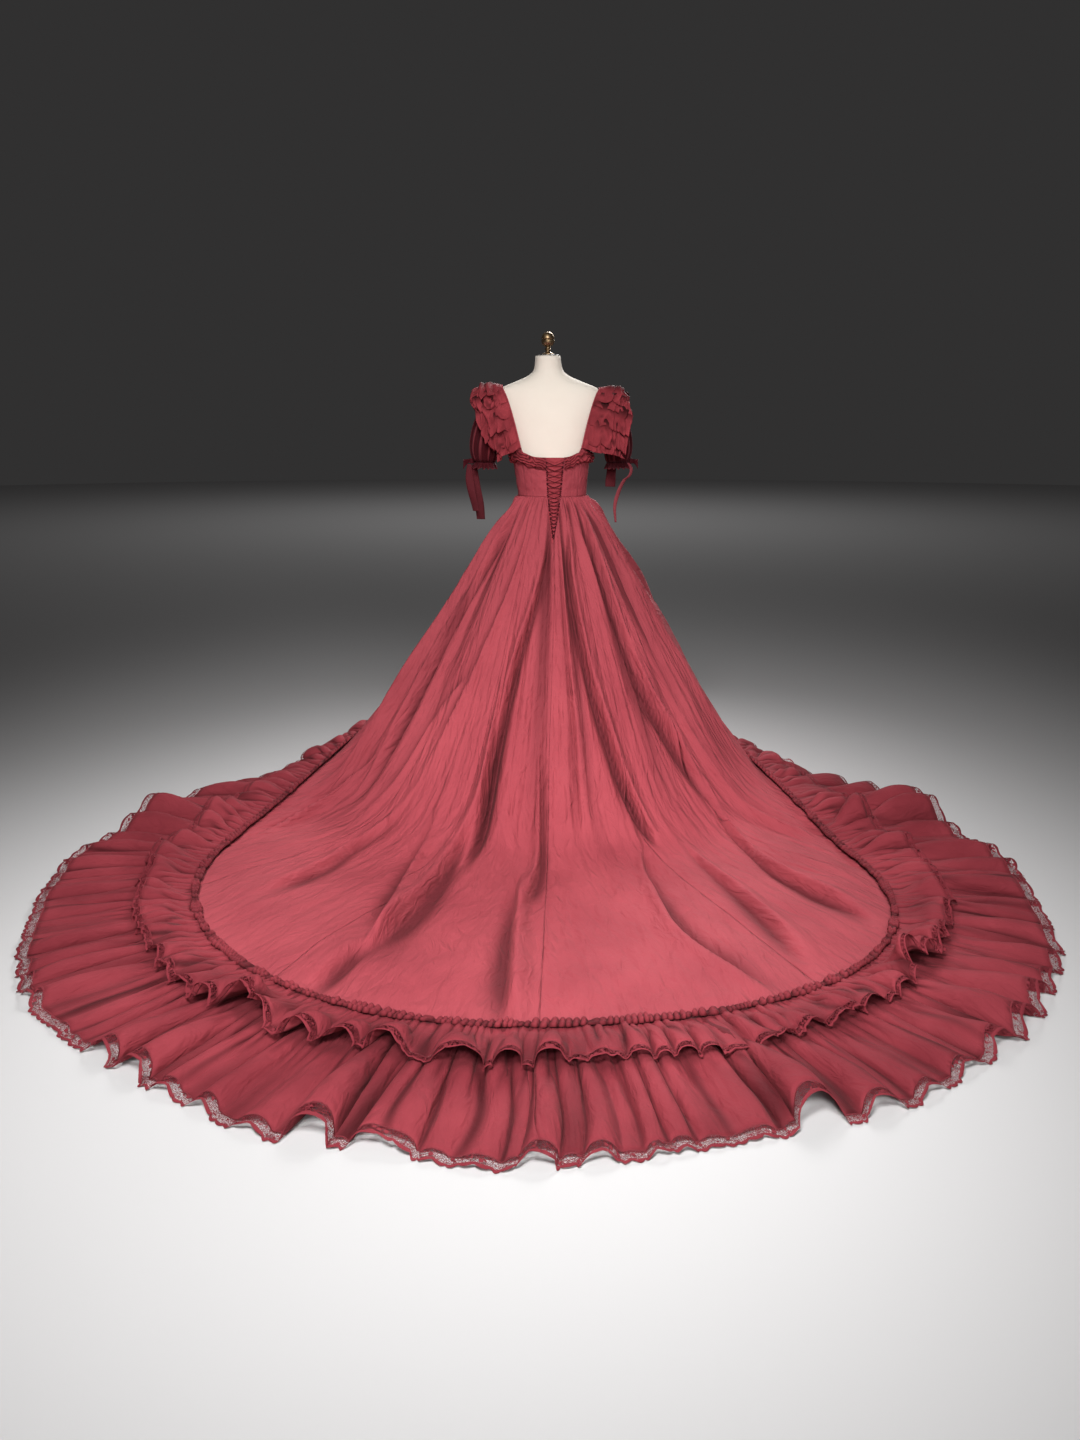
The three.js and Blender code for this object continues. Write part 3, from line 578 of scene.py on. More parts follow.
def skirtHeight(angle, u):
    # how far the cloth lies outside the cone: troughs along their paths, each steep beside its raised lip
    angle = turnBack(angle)
    height = np.zeros(np.broadcast(angle, u).shape)
    for lipSide, depth, widths, path in skirt["folds"]:
        first, last = path[0][0], path[-1][0]
        share = (u - first) / (last - first)
        line = readTable(path, np.clip(u, first, last))
        width = skirt["foldWidth"] * mix(*widths, np.clip(share, 0, 1))
        x = lipSide * turnBack(angle - line) * perDegree(u) / width
        shown = smooth(-0.12, 0.16, share) * (1 - smooth(0.7, 1.12, share))
        shown = shown * mix(0.45, 1, np.clip(2 * share, 0, 1))
        trough = np.exp(-np.abs(x / np.where(x > 0, 0.55, 1.7)) ** 1.5)
        lip = 0.62 * np.exp(-((x - 1.15) / np.where(x > 1.15, 1.5, 0.62)) ** 2)
        height = height + depth * shown * (lip - 0.8 * trough)
    return height


def pleated(phase):
    # round crests with narrow valleys between them, from -1 to 0.6
    return 1.6 * (0.5 + 0.5 * np.cos(2 * np.pi * phase)) ** 0.6 - 1


def waistGathers(turn, u):
    # gathers under the waist seam: waves of uneven pitch that die away down the skirt
    g = gathers
    place = turn / 360
    uneven = 0.3 * ringNoise(place, 9, 11) + 0.14 * ringNoise(place, 25, 12)
    fuller = 1 + humps(turn, g["fuller"])
    pleats = g["height"] * (0.65 + 0.35 * ringNoise(place, 21, 13)) * fuller
    pleats = pleats * pleated(g["count"] * place + uneven) * smooth(0, 0.014, u) * np.exp(-u / g["reach"])
    fine = g["fineHeight"] * np.cos(2 * np.pi * (g["fineCount"] * place + 2 * uneven))
    fine = fine * smooth(0, 0.006, u) * np.exp(-u / (0.3 * g["reach"]))
    longer = g["longHeight"] * (0.7 + 0.5 * ringNoise(place, 17, 14)) * fuller ** 0.5
    longer = longer * pleated(g["longCount"] * place + 1.6 * uneven + 0.2)
    longer = longer * smooth(0.01, 0.1, u) * np.exp(-(u / g["longReach"]) ** 2)
    return pleats + fine + longer


def skirtPoint(angle, u):
    # the cone plus the cloth's height along the cone's normal
    eps = 0.004
    base, turn = skirtBase(angle, u)
    side = skirtBase(angle + 0.25, u)[0] - skirtBase(angle - 0.25, u)[0]
    down = skirtBase(angle, np.minimum(1, u + eps))[0] - skirtBase(angle, np.maximum(0, u - eps))[0]
    normal = unit(np.cross(side, down))
    normal = normal * np.where(normal[..., 2:3] < 0, -1, 1)
    wrinkles = layeredNoise(turnBack(angle), u, skirt["wrinkles"])
    wrinkles = wrinkles * smooth(0.03, 0.25, u) * (1 - smooth(0.97, 1.0, u))
    rise = skirt["rise"] * smooth(0.3, 0.5, u) * (1 - smooth(0.86, 0.99, u))
    height = skirtHeight(angle, u) * smooth(0, 0.09, u) + waistGathers(turn, u) + wrinkles + rise
    points = base + height[..., None] * normal
    # the floor holds the cloth up: heights under a few millimetres level out softly
    rest, soft = skirt["floorRest"], skirt["floorSoft"]
    points[..., 2] = rest + soft * np.logaddexp(0, (points[..., 2] - rest) / soft)
    return points


def skirtPaintedShade(angle, u):
    # how deep a place lies in its fold, from 0 to 1; the material deepens the colour there as painted shade
    _, turn = skirtBase(angle, u)
    folds = skirtHeight(angle, u) * smooth(0, 0.09, u)
    strong = 1.1 + humps(turn, gathers["darker"])
    deep = 1.15 * smooth(0.0, 0.034, -folds)
    deep = deep + strong * smooth(0.0005, 0.013, -waistGathers(turn, u)) * np.exp(-u / 0.34)
    # painted shade on the sides, which turn away from the light
    sides = 0.55 * bump(np.abs(turn), 94, 26) * smooth(0.02, 0.2, u) * (1 - smooth(0.55, 0.85, u))
    return np.clip((deep + sides) * smooth(0, 0.02, u), 0, 1)


slit = {"end": 0.052, "middle": 6, "half": 18}


def slitEdge(angle, u, side):
    # the two back gores part below the waist, where the lacing runs on
    middle = slit["middle"] * (1 - smooth(0, 0.3, u))
    half = slit["half"] * np.maximum(0, 1 - u / slit["end"])
    return middle + side * half if angle == 0 else angle + 0 * u


def makeSkirt():
    for name, left, right, columns, rows in skirt["gores"]:
        s, t = grid(columns, rows)
        u = t ** 1.35
        angle = mix(slitEdge(left, u, 1), slitEdge(right, u, -1), s)
        toSeam = np.minimum(s, 1 - s) * (right - left) * perDegree(u)
        cloth("skirt_cloth_" + name, skirtPoint(angle, u), "cotton", "skirt_" + name,
              skirt["inside"], {"seam": toSeam, "paintedShade": skirtPaintedShade(angle, u)})
    print("skirt made", counts["triangles"])


# The flounces: rings of gathered cloth from the skirt's seam, each a lift along the ring's own slope
flounces = {
    # folds: count, height, lean, shares where they start and are full, shares where they fade, sharpness
    "lower": {
        "share": 1.0, "seed": 40, "lift": (0.0, 0.0), "lengths": 6, "cells": (350, 26), "restsOn": "floor",
        "shade": (.36, .47), "laceLengths": 4, "laceDepth": 0.035,
        "folds": [(290, .0085, .85, (-.1, .02), (.3, .7), 1), (144, .018, 1, (.05, .3), (.75, 1.4), 1.4),
                  (66, .044, .9, (.22, .95), (2, 3), 2.3)]},
    "upper": {
        "share": 0.36, "seed": 160, "lift": (.006, .024), "lengths": 4, "cells": (480, 13),
        "restsOn": "lower_flounce_1_cloth", "shade": (.02, .14), "laceLengths": 2, "laceDepth": 0.0217,
        "folds": [(310, .008, .85, (-.1, .02), (.4, 1), 1), (134, .018, 1.05, (.05, .6), (1.2, 2.4), 1.4),
                  (72, .03, .95, (.3, 1), (2, 3), 2)]},
    # where the folds are taller: by how much, angle, width
    "taller": [(.8, 106, 20), (.5, -106, 20)],
    # finer crumples: height, humps along, humps round the ring, seed after the flounce's own
    "crumple": [(.003, 3.2, 300, 7), (.0014, 7, 640, 8)],
    # places where the upper edge is caught up: angle, half width, height, share pulled in
    "caught": [(-35, 2.6, .05, .3), (51, 3.0, .052, .34), (-75, 2.0, .025, .12), (78, 1.8, .026, .15)],
    "inside": (-0.04, -0.955, -0.5),
}


def flounceBase(angle, v):
    # a straight line from the seam to the hem on the floor, and the slope's own upward direction
    start, end = seamPoint(angle), onTrain(angle, skirt["hemRadius"], 0.0015)
    base = mix(start, end, v[..., None])
    fall = np.arctan2(start[..., 2] - end[..., 2], np.hypot(*np.moveaxis((start - end)[..., :2], -1, 0)))
    a = np.radians(angle)
    return base, point(np.sin(fall) * np.sin(a), -np.sin(fall) * np.cos(a), np.cos(fall))


def ringPlane(place, share, cells, seed):
    # plane noise that closes round the ring
    return planeNoise(place * cells, share, seed, cells)


def flounceShape(angle, v, kind, out=0.0):
    # three sizes of fold; a wave leans over, because the cloth moves along the ring with its phase's sine
    g = flounces[kind]
    seed = g["seed"]
    turn = turnBack(angle)
    place = (turn + 180) / 360
    share = v / g["share"]
    taller = 1 + humps(turn, flounces["taller"])
    lift, along, pull, paintedShade = (0 * share for _ in range(4))
    for k, (count, height, lean, rise, fade, sharp) in enumerate(g["folds"]):
        own = seed + 10 * k
        uneven = 0.42 * ringNoise(place, int(0.44 * count), own)
        uneven = uneven + 0.16 * ringNoise(place, int(0.9 * count), own + 1)
        slant = 0.42 * ringPlane(place, 1.4 * share + 3 * k, int(0.3 * count), own + 2)
        phase = 2 * np.pi * (count * place + uneven + slant)
        strength = np.clip(0.64 + 0.8 * ringNoise(place, int(0.7 * count), own + 3), 0.06, 1.35)
        shown = smooth(*rise, share) * (1 - smooth(*fade, share)) * strength
        crest = (0.5 + 0.5 * np.cos(phase)) ** sharp
        lift = lift + height * shown * crest * (taller if k else 1)
        # small leans give round crests; a share of twice the phase makes the sides overhang like a meander
        along = along + (0.75 * lean * np.sin(phase) + 0.28 * lean * np.sin(2 * phase)) * shown / count
        pull = pull + (0.78 if k == 2 else 0.45) * height * shown * (crest - 0.25)
        # painted shade in each fold's valley
        paintedShade = paintedShade + np.clip(shown, 0, 1) * (0.5 - 0.5 * np.cos(phase)) ** (5 if k < 2 else 4)
    # the edge is caught up here and there
    for at, half, height, pulled in flounces["caught"] if kind == "upper" else []:
        near = bump(turn, at, half)
        lift = lift + height * near * smooth(0.2, 1.0, share)
        share = share * (1 - pulled * near * smooth(0.3, 1.0, share))
    base, up = flounceBase(angle + np.degrees(along), share * g["share"])
    crumple = sum(height * ringPlane(place, humpsAlong * share, humpsRound, seed + own)
                  for height, humpsAlong, humpsRound, own in flounces["crumple"])
    lift = lift + crumple * smooth(0.02, 0.2, share) + mix(*g["lift"], smooth(0.0, 0.8, share)) + out
    points = base + lift[..., None] * up
    # the edge wanders: crests draw it in, and it swings a little by itself
    wander = 0.02 * ringNoise(place, 41, seed + 9) * smooth(0.3, 1, share) - pull
    a = np.radians(angle)
    points = points + wander[..., None] * point(np.sin(a), -np.cos(a), 0 * a) * up[..., 2:3]
    points[..., 2] = 0.0012 + 0.003 * np.logaddexp(0, (points[..., 2] - 0.003) / 0.003)
    return points, np.clip(paintedShade, 0, 1)


def lacePoint(angle, t, kind):
    # lace goes on from the edge; its own edge is cut in scallops, a cosine to a low power
    scallops = 340
    scallop = np.abs(np.cos(np.pi * scallops * (angle + 180) / 360)) ** 0.6
    reach = flounces[kind]["laceDepth"] / skirt["flounceDepth"] * t * mix(1, 0.74 + 0.26 * scallop, t)
    return flounceShape(angle, flounces[kind]["share"] + reach, kind, 0.0006)[0]


def ringGrids(name, lengths, columns, rows):
    # the node's name, the angle and the share along, for each length of the ring
    for k in range(lengths):
        s, t = grid(columns, rows)
        yield f"{name}_{k + 1}", -180 + (k + s) * 360 / lengths, t


def ringCloth(name, points, finish, node, marks, thickness=0.001):
    cloth(name, points, finish, node, flounces["inside"], marks, even=True,
          thickness=thickness)


def makeFlounces():
    for kind in ("lower", "upper"):
        g = flounces[kind]
        for node, angle, t in ringGrids(kind + "_flounce", g["lengths"], *g["cells"]):
            points, paintedShade = flounceShape(angle, g["share"] * t, kind)
            # painted shade darkens the folds' valleys and the head, which lies under the heading or under
            # the upper flounce's edge
            dark = np.maximum(0.85 * paintedShade, 0.6 * (1 - smooth(*g["shade"], t)))
            ringCloth(node + "_cloth", points, "flounce", node, {"paintedShade": dark})
    for kind in ("lower", "upper"):
        lengths = flounces[kind]["laceLengths"]
        for node, angle, t in ringGrids(kind + "_lace", lengths, 2000 // lengths, 4):
            ringCloth(node + "_net", lacePoint(angle, t, kind), "lace", node,
                      {"border": np.maximum(t, 1 - t * 5)}, thickness=0.0006)
    print("flounces made", counts["triangles"])


def makeHeading():
    # the ruched strip over the seam: puffs on both sides of its stitched middle
    settings = {"halfWidth": 0.0125, "height": 0.015, "puffs": 400, "out": 0.009}
    for node, angle, t in ringGrids("ruched_heading", 2, 1280, 6):
        place = (angle + 180) / 360
        w = 2 * t - 1
        uneven = 0.9 * ringNoise(place, 97, 81) + 0.4 * ringNoise(place, 211, 82)
        phase = 2 * np.pi * (settings["puffs"] * place + uneven)
        size = 0.78 + 0.42 * ringNoise(place, 260, 83)
        phase = phase + 0.9 * w
        puff = np.clip((0.5 + 0.5 * np.cos(phase)) * size + 0.22 * ringNoise(place, 520, 85), 0, 1.2)
        shifted = angle + np.degrees(0.9 * np.sin(phase) / settings["puffs"])
        wide = w * settings["halfWidth"] * (0.65 + 0.5 * puff + 0.35 * ringNoise(place, 180, 84))
        base, up = flounceBase(shifted, wide / skirt["flounceDepth"])
        middle = 1 - 0.45 * bump(w, 0, 0.25)
        edge = 1 - 0.75 * smooth(0.6, 1.0, np.abs(w))
        lift = settings["out"] + settings["height"] * (0.2 + 0.8 * puff) * middle * edge
        # painted shade in the valleys between the puffs
        ringCloth(node + "_cloth", base + lift[..., None] * up, "flounce", node,
                  {"paintedShade": np.clip(1.05 - 1.1 * puff, 0.15, 0.9)})
    print("heading made", counts["triangles"])


# The bodice lies on the form: panels from the waist to a top edge that follows a table of heights
bodice = {
    "top": [(0, 1.268), (25, 1.27), (40, 1.284), (60, 1.362), (75, 1.332), (90, 1.324), (105, 1.332),
            (120, 1.352), (150, 1.346), (180, 1.34)],
    "bandTop": [(0, 1.276), (25, 1.279), (42, 1.294), (60, 1.3), (90, 1.298), (120, 1.33), (150, 1.356),
                (180, 1.35)],
    # name, left and right edge in degrees, columns
    "panels": [("back_left", -48, 0, 40), ("back_right", 0, 48, 40), ("side_left", -118, -48, 36),
               ("side_right", 48, 118, 36), ("front", 118, 242, 60)],
    "bands": [("back_left", -118, 0, 130), ("back_right", 0, 118, 130), ("front", 118, 242, 100)],
    "bones": (-34, 26, 46, 84, -50, -84), "radius": 0.125, "inside": (0, 0, 1.2),
    "bandDepth": 0.042, "bandBelly": 0.006, "bandFolds": 2.5, "bandHeight": 0.0095,
    # height, degrees across a hump, slant, humps along, seed
    "pulls": [(.0014, 14, 0, 55, 31), (.0009, 6, 0, 120, 32)],
    "bandWander": [(.85, 11, 0, 1.2, 51), (.45, 5, 0, 2, 52)],
    "bandCrush": [(1, 4.2, 0, 2.6, 54), (.5, 2.1, 0, 5, 55)],
}


def lacingX(z):
    return 0.011 + 0.018 * (z - 0.97)


def lacingHalf(z):
    above = mix(0.022, 0.031, (z - form["waistHeight"]) / 0.14)
    below = 0.022 * np.maximum(0, (z - 0.985) / 0.15)
    return np.where(z > form["waistHeight"], above, below)


def panelAngle(z, s, left, right, gap=0.0):
    # across a panel from edge to edge; an edge given as 0 follows the lacing
    edges = []
    for angle, side in ((left, 1), (right, -1)):
        across = (lacingX(z) + side * (lacingHalf(z) + gap) - formShift(z)) / readTable(form["sections"], z)
        edges.append(np.degrees(np.arcsin(across)) if angle == 0 else angle + 0 * s)
    return turnBack(mix(*edges, s))


def makeBodice():
    waist = form["waistHeight"]
    for name, left, right, columns in bodice["panels"]:
        s, t = grid(columns, 34)

        def surface(s, t, left=left, right=right):
            rough = turnBack(mix(left, right, s))
            z = mix(waist, readTable(bodice["top"], np.abs(rough)), t)
            angle = panelAngle(z, s, left, right)
            return formPoint(angle, mix(waist, readTable(bodice["top"], np.abs(angle)), t), bodiceOut)

        angle = turnBack(mix(left, right, s))
        bones = sum(bump(angle, at, 1.6) for at in bodice["bones"])
        pulls = layeredNoise(angle, surface(s, t)[..., 2], bodice["pulls"])
        height = -(0.0005 * bones + pulls * smooth(0.0, 0.12, t))
        toBone = np.min([np.abs(angle - at) for at in bodice["bones"]], axis=0)
        toSeam = bodice["radius"] * np.radians(toBone)
        toEdge = bodice["radius"] * np.radians(np.minimum(s, 1 - s) * (right - left)) + 0.0006
        cloth("bodice_cloth_" + name, raised(surface, s, t, height), "bodice", "bodice_" + name,
              bodice["inside"], {"seam": np.minimum(toSeam, toEdge)})
    print("bodice made")


def makeBand():
    # folds run along the band and close up towards the lacing: ridges whose height waves along it
    for name, left, right, columns in bodice["bands"]:
        s, t = grid(columns, 20)

        def surface(s, t, left=left, right=right):
            angle = panelAngle(np.full_like(s, 1.255), s, left, right, 0.001)
            belly = bodice["bandBelly"] * np.sin(np.pi * mix(0.06, 0.94, np.clip(t, 0, 1)))
            z = readTable(bodice["bandTop"], np.abs(angle)) - bodice["bandDepth"] * t
            return formPoint(angle, z, bodiceOut + 0.0025 + belly)

        angle = turnBack(mix(left, right, s))
        # near the lacing the folds run together to the band's lower edge
        gathered = np.exp(-np.abs(angle) / 26) if name != "front" else 0 * angle
        level = bodice["bandFolds"] * t ** mix(1, 1.8, gathered) - 1.5 * gathered * (1 - t)
        ridge = 0.5 + 0.5 * np.cos(2 * np.pi * (level + layeredNoise(angle, t, bodice["bandWander"])))
        swag = 0.5 + 0.5 * planeNoise(angle / 7, t * 2.0, 53)
        height = bodice["bandHeight"] * ridge ** 1.2 * (0.3 + 0.75 * swag)
        height = height + 0.0034 * layeredNoise(angle, t, bodice["bandCrush"])
        edge = smooth(0, 0.1, t) * (1 - smooth(0.9, 1.0, t))
        # painted shade in the valleys between the folds and along the band's lower edge
        dark = np.clip((1 - ridge) ** 1.5 * (1.1 - 0.6 * swag) + 0.5 * smooth(0.8, 1.0, t), 0, 1) * edge
        cloth("neck_band_cloth_" + name, raised(surface, s, t, -height * edge), "ruffle",
              "neck_band_" + name, bodice["inside"],
              {"paintedShade": 0.9 * dark})
    print("band made")


def backPoint(x, z, out):
    # over the form above the waist and over the skirt's middle line below it
    onBack = formPoint(0 * z, z, bodiceOut + out)
    across = np.clip((x - formShift(z)) / readTable(form["sections"], z), -0.9, 0.9)
    upper = point(x, onBack[..., 1] * np.sqrt(1 - across ** 2), z)
    u = np.linspace(0, 0.4, 60)
    line, _ = skirtBase(slit["middle"] * (1 - smooth(0, 0.3, u)), u)
    order = np.argsort(line[:, 2])
    y = np.interp(z, line[order, 2], line[order, 1])
    shape = np.sqrt(np.clip(1 - ((x - form["waistShift"]) / y) ** 2, 0, 1))
    lower = point(x, y * shape - out * 1.2, z)
    return np.where((z >= form["waistHeight"])[..., None], upper, lower)


def tube(path, radius, sides):
    # a circle carried along a path; its frame turns with the path's tangent
    tangent = unit(np.gradient(path, axis=0))
    side = unit(np.cross(tangent, np.array([0.0, 1.0, 0.02])))
    lift = np.cross(side, tangent)
    turn = np.linspace(0, 2 * np.pi, sides + 1)[:-1, None]
    return path[:, None] + radius * (np.cos(turn) * side[:, None] + np.sin(turn) * lift[:, None])


def joinGrids(name, grids, finish, nodes, closed=False, inside=None, thickness=None, paintedShades=None):
    # several grids as one piece
    parts = []
    for k, points in enumerate(grids):
        centre = inside or tuple(points.reshape(-1, 3).mean(0))
        marks = {"seam": 1.0, "paintedShade": paintedShades[k] if paintedShades else 0.0}
        parts.append(gridObject(f"{name}_part{k}", points, closed, closed, centre, marks, even=True)[0])
    whole = bmesh.new()
    for part in parts:
        whole.from_mesh(part.data)
    mesh = bpy.data.meshes.new(name)
    whole.to_mesh(mesh)
    whole.free()
    for part in parts:
        bpy.data.meshes.remove(part.data)
    mesh.shade_smooth()
    obj = bpy.data.objects.new(name, mesh)
    scene.collection.objects.link(obj)
    if thickness:
        thicken(obj, thickness)
    wear(obj, finish, nodes)
    return obj


# eyelets: highest, lowest and number, above the waist and below it
lacing = {"upper": (1.262, 1.142, 7), "lower": (1.126, 0.99, 12), "radius": 0.0009, "sides": 6,
          "loopRadius": 0.0013, "loopStep": 0.0152, "panel": (1.276, 0.976), "swag": 0.0034}


def makeLacing():
    # the panel behind the lacing, pulled into V-shaped swags between the eyelets
    s, t = grid(24, 90)
    z = mix(*lacing["panel"], t)
    across = 2 * s - 1
    sink = 0.016 * (1 - np.abs(across) ** 1.3)
    swag = (0.5 + 0.5 * np.cos(2 * np.pi * (z + sink) / lacing["loopStep"])) ** 0.8
    fade = smooth(0.0, 0.05, t) * (1 - smooth(0.75, 1.0, t))
    points = backPoint(lacingX(z) + across * np.maximum(0.004, lacingHalf(z) + 0.007), z, -0.0036 + 0 * z)
    points[..., 1] -= lacing["swag"] * swag * fade * (1 - across ** 4)
    cloth("modesty_cloth", points, "ruffle", "modesty_panel", (0, 0, 1.15))
    # two strands that cross between the eyelets
    eyelets = np.concatenate([np.linspace(*lacing["upper"]), np.linspace(*lacing["lower"])])
    for name, first in (("lacing_under", 0), ("lacing_over", 1)):
        route = []
        for k, z in enumerate(eyelets):
            side = -1 if (k + first) % 2 else 1
            route.append(backPoint(lacingX(z) + side * (lacingHalf(z) + 0.003), z, 0.0028))
            if k < len(eyelets) - 1:
                middle = (eyelets[k] + eyelets[k + 1]) / 2 - 0.004
                route.append(backPoint(lacingX(middle), middle, 0.0022 + (0.0022 if first else -0.0004)))
        strand = tube(smoothPath(route, 220), lacing["radius"], lacing["sides"])
        joinGrids(name + "_cord", [strand], "cord", [name], closed=True)
    # small loops along both edges
    loops = []
    turn = np.linspace(-0.2, np.pi + 0.2, 8)
    for side in (-1, 1):
        for height in np.arange(lacing["upper"][0] - 0.004, 0.992, -lacing["loopStep"]):
            x = lacingX(height) + side * (lacingHalf(height) + 0.003 - 0.0048 * np.sin(turn))
            path = backPoint(x, height + 0.0032 * np.cos(turn), 0.0024 + 0 * turn)
            loops.append(tube(path, lacing["loopRadius"], lacing["sides"]))
    joinGrids("lacing_loops", loops, "cord", [], closed=True)
    print("lacing made", counts["triangles"])


# Straps, sleeves and shoulder ruffles; side is -1 at the left and 1 at the right
shoulder = {
    "armhole": {"z": 1.4, "halfWidth": 0.06, "halfHeight": 0.076}, "end": 118, "neckCentre": 0.004,
    # angle round the armhole, then x, y and z of the neckline's edge
    "neckEdge": [(-118, .112, -.084, 1.304), (-80, .139, -.088, 1.4), (-40, .163, -.066, 1.49),
                 (0, .174, 0, 1.526), (40, .166, .062, 1.488), (80, .15, .104, 1.42),
                 (118, .126, .122, 1.362)],
    # share along the sleeve, then x, z, tilt in degrees, reach up, reach down and depth
    "sleeveRings": [(0.25, .212, 1.392, 18, .076, .062, .078), (0.5, .226, 1.362, 42, .072, .04, .084),
                    (0.75, .238, 1.318, 66, .064, .038, .08), (0.9, .243, 1.285, 80, .056, .04, .068),
                    (1, .245, 1.258, 90, .042, .036, .05)],
}


def strapOut(turn):
    return mix(0.0072, bodiceOut + 0.0032, smooth(55, 104, np.abs(turn)))


def armholePoint(side, turn, size, out):
    a = np.radians(turn)
    hole = shoulder["armhole"]
    y, z = size * hole["halfWidth"] * np.sin(a), hole["z"] + size * hole["halfHeight"] * np.cos(a)
    return onForm(point(side * 0.215, y, z), out + 0 * a)


def strapPoint(side, turn, across, out):
    # between the armhole's edge and the neckline's edge, laid on the form
    outer = armholePoint(side, turn, 1, 0 * turn)
    x, y, z = readColumns(shoulder["neckEdge"], turn)
    inner = point(shoulder["neckCentre"] + side * x, y, z)
    return onForm(mix(outer, inner, np.asarray(across)[..., None]), out)


def sleevePoint(side, turn, t):
    # a ring turned down along the sleeve: reach above and below its middle, and its depth front to back
    a, level = np.radians(turn), np.abs(turnBack(turn))
    under = mix(bodiceOut, strapOut(np.minimum(shoulder["end"], level)), 1 - smooth(108, 150, level))
    head = armholePoint(side, turn, 1.04, under + 0.0028)
    first = shoulder["sleeveRings"][0][0]
    x, z, tilt, up, low, depth = readColumns(shoulder["sleeveRings"], np.maximum(first, t))
    b, c = np.radians(tilt), np.cos(a)
    reach = mix(low, up, (c + 1) / 2) * c
    onRing = point(side * (x + reach * np.sin(b)) + 0.003, depth * np.sin(a), z + reach * np.cos(b))
    return np.where((t < first)[..., None], mix(head, onRing, np.minimum(1, t / first)[..., None]), onRing)


def makeSleeve(word, side):
    settings = {"pleats": 13, "height": 0.01, "gathers": 40, "gatherHeight": 0.0016, "cuffWaves": 13,
                "cuffDepth": 0.022, "cuffCentre": 0.245, "cuffGrows": 0.14, "cuffWaveHeight": 0.15}
    s, t = grid(208, 26, closed=True)
    uneven = 0.35 * ringNoise(s, 7, 91) + 0.1 * planeNoise(s * 9, t * 2, 92, 9)
    phase = 2 * np.pi * (settings["pleats"] * s + uneven)
    swell = np.sin(np.pi * t) ** 0.45
    valley = np.abs(np.sin(phase / 2)) ** 0.7
    height = settings["height"] * (valley - 0.45) * swell * (0.8 + 0.3 * ringNoise(s, 15, 93))
    fine = settings["gatherHeight"] * np.cos(2 * np.pi * settings["gathers"] * s)
    fine = fine * (bump(t, 1, 0.1) + bump(t, 0, 0.1))
    base = sleevePoint(side, 360 * s, t)
    outward = unit(base - base.mean(axis=1, keepdims=True))
    # a painted highlight along the pleats' crests, for the light the velvet catches there
    ridge = smooth(0.9, 1.0, valley) * swell * (0.45 + 0.4 * ringNoise(s, 13, 94))
    cloth(f"sleeve_cloth_{word}", base + (height + fine)[..., None] * outward, "velvet", f"sleeve_{word}",
          tuple(base.reshape(-1, 3).mean(0)),
          {"crest": np.clip(ridge, 0, 1)}, closed=True, even=True)
    # the frill below the gathered end
    s, t = grid(208, 6, closed=True)
    end = sleevePoint(side, 360 * s, np.ones_like(s))
    phase = 2 * np.pi * (settings["cuffWaves"] * s + 0.3 * ringNoise(s, 9, 95))
    grow = 1 + settings["cuffGrows"] * t + settings["cuffWaveHeight"] * t * np.cos(phase)
    centreX = 0.003 + side * settings["cuffCentre"]
    z = end[..., 2] - 0.0012 - settings["cuffDepth"] * t - 0.003 * np.sin(phase + 1) * t
    # a painted highlight along the frill's edge
    cloth(f"cuff_cloth_{word}", point(mix(centreX, end[..., 0], grow), end[..., 1] * grow, z), "velvet",
          f"cuff_{word}", (centreX, 0, 1.246),
          {"crest": 0.35 * smooth(0.8, 1.0, t)}, closed=True, even=True)


def makeStrap(word, side):
    settings = {"gathers": 44, "height": 0.0011}
    s, t = grid(120, 10)
    turn = mix(-shoulder["end"], shoulder["end"], s)
    gathered = np.cos(2 * np.pi * settings["gathers"] * s + 2 * ringNoise(s, 13, 97))
    gathered = settings["height"] * gathered * np.sin(np.pi * t)
    points = strapPoint(side, turn, t, strapOut(turn) + np.abs(gathered))
    cloth(f"strap_cloth_{word}", points, "cotton", f"strap_{word}", (0, 0, 1.3),
          {"seam": 0.0007 + np.minimum(t, 1 - t) * 0.03})


ruffles = {
    # piece, seed, and its rows' angles on the strap, each row falling over the next one's head
    "left": [("top", 101, [(2, 38, 74), (2, -22, -40)]), ("middle", 111, [(-38, -62)]),
             ("low", 121, [(-60, -80, -99, -118)])],
    "right": [("top", 131, [(2, 38, 74), (2, -27)]), ("middle", 141, [(-26, -50, -73)]),
              ("low", 151, [(-72, -96, -118)])],
    # angle on the strap, reach outwards, fall, stand-off
    "leftReach": [(-118, .048, .03, .018), (-80, .078, .036, .024), (-40, .092, .038, .022),
                  (0, .092, .052, .012), (74, .07, .05, .014)],
    "rightReach": [(-118, .118, .02, .026), (-80, .116, .024, .028), (-40, .104, .034, .026),
                   (0, .086, .048, .014), (74, .07, .05, .014)],
    "waves": 46, "overlap": 1.45, "turnsBack": 0.76, "seat": 0.93, "rowHeight": 0.026, "leastFill": 0.34,
    # height, metres across a hump, slant, humps along, seed after the piece's own
    "crumple": [(.0085, .018, 0, 2.8, 3), (.0058, .008, 0, 7, 4)],
}


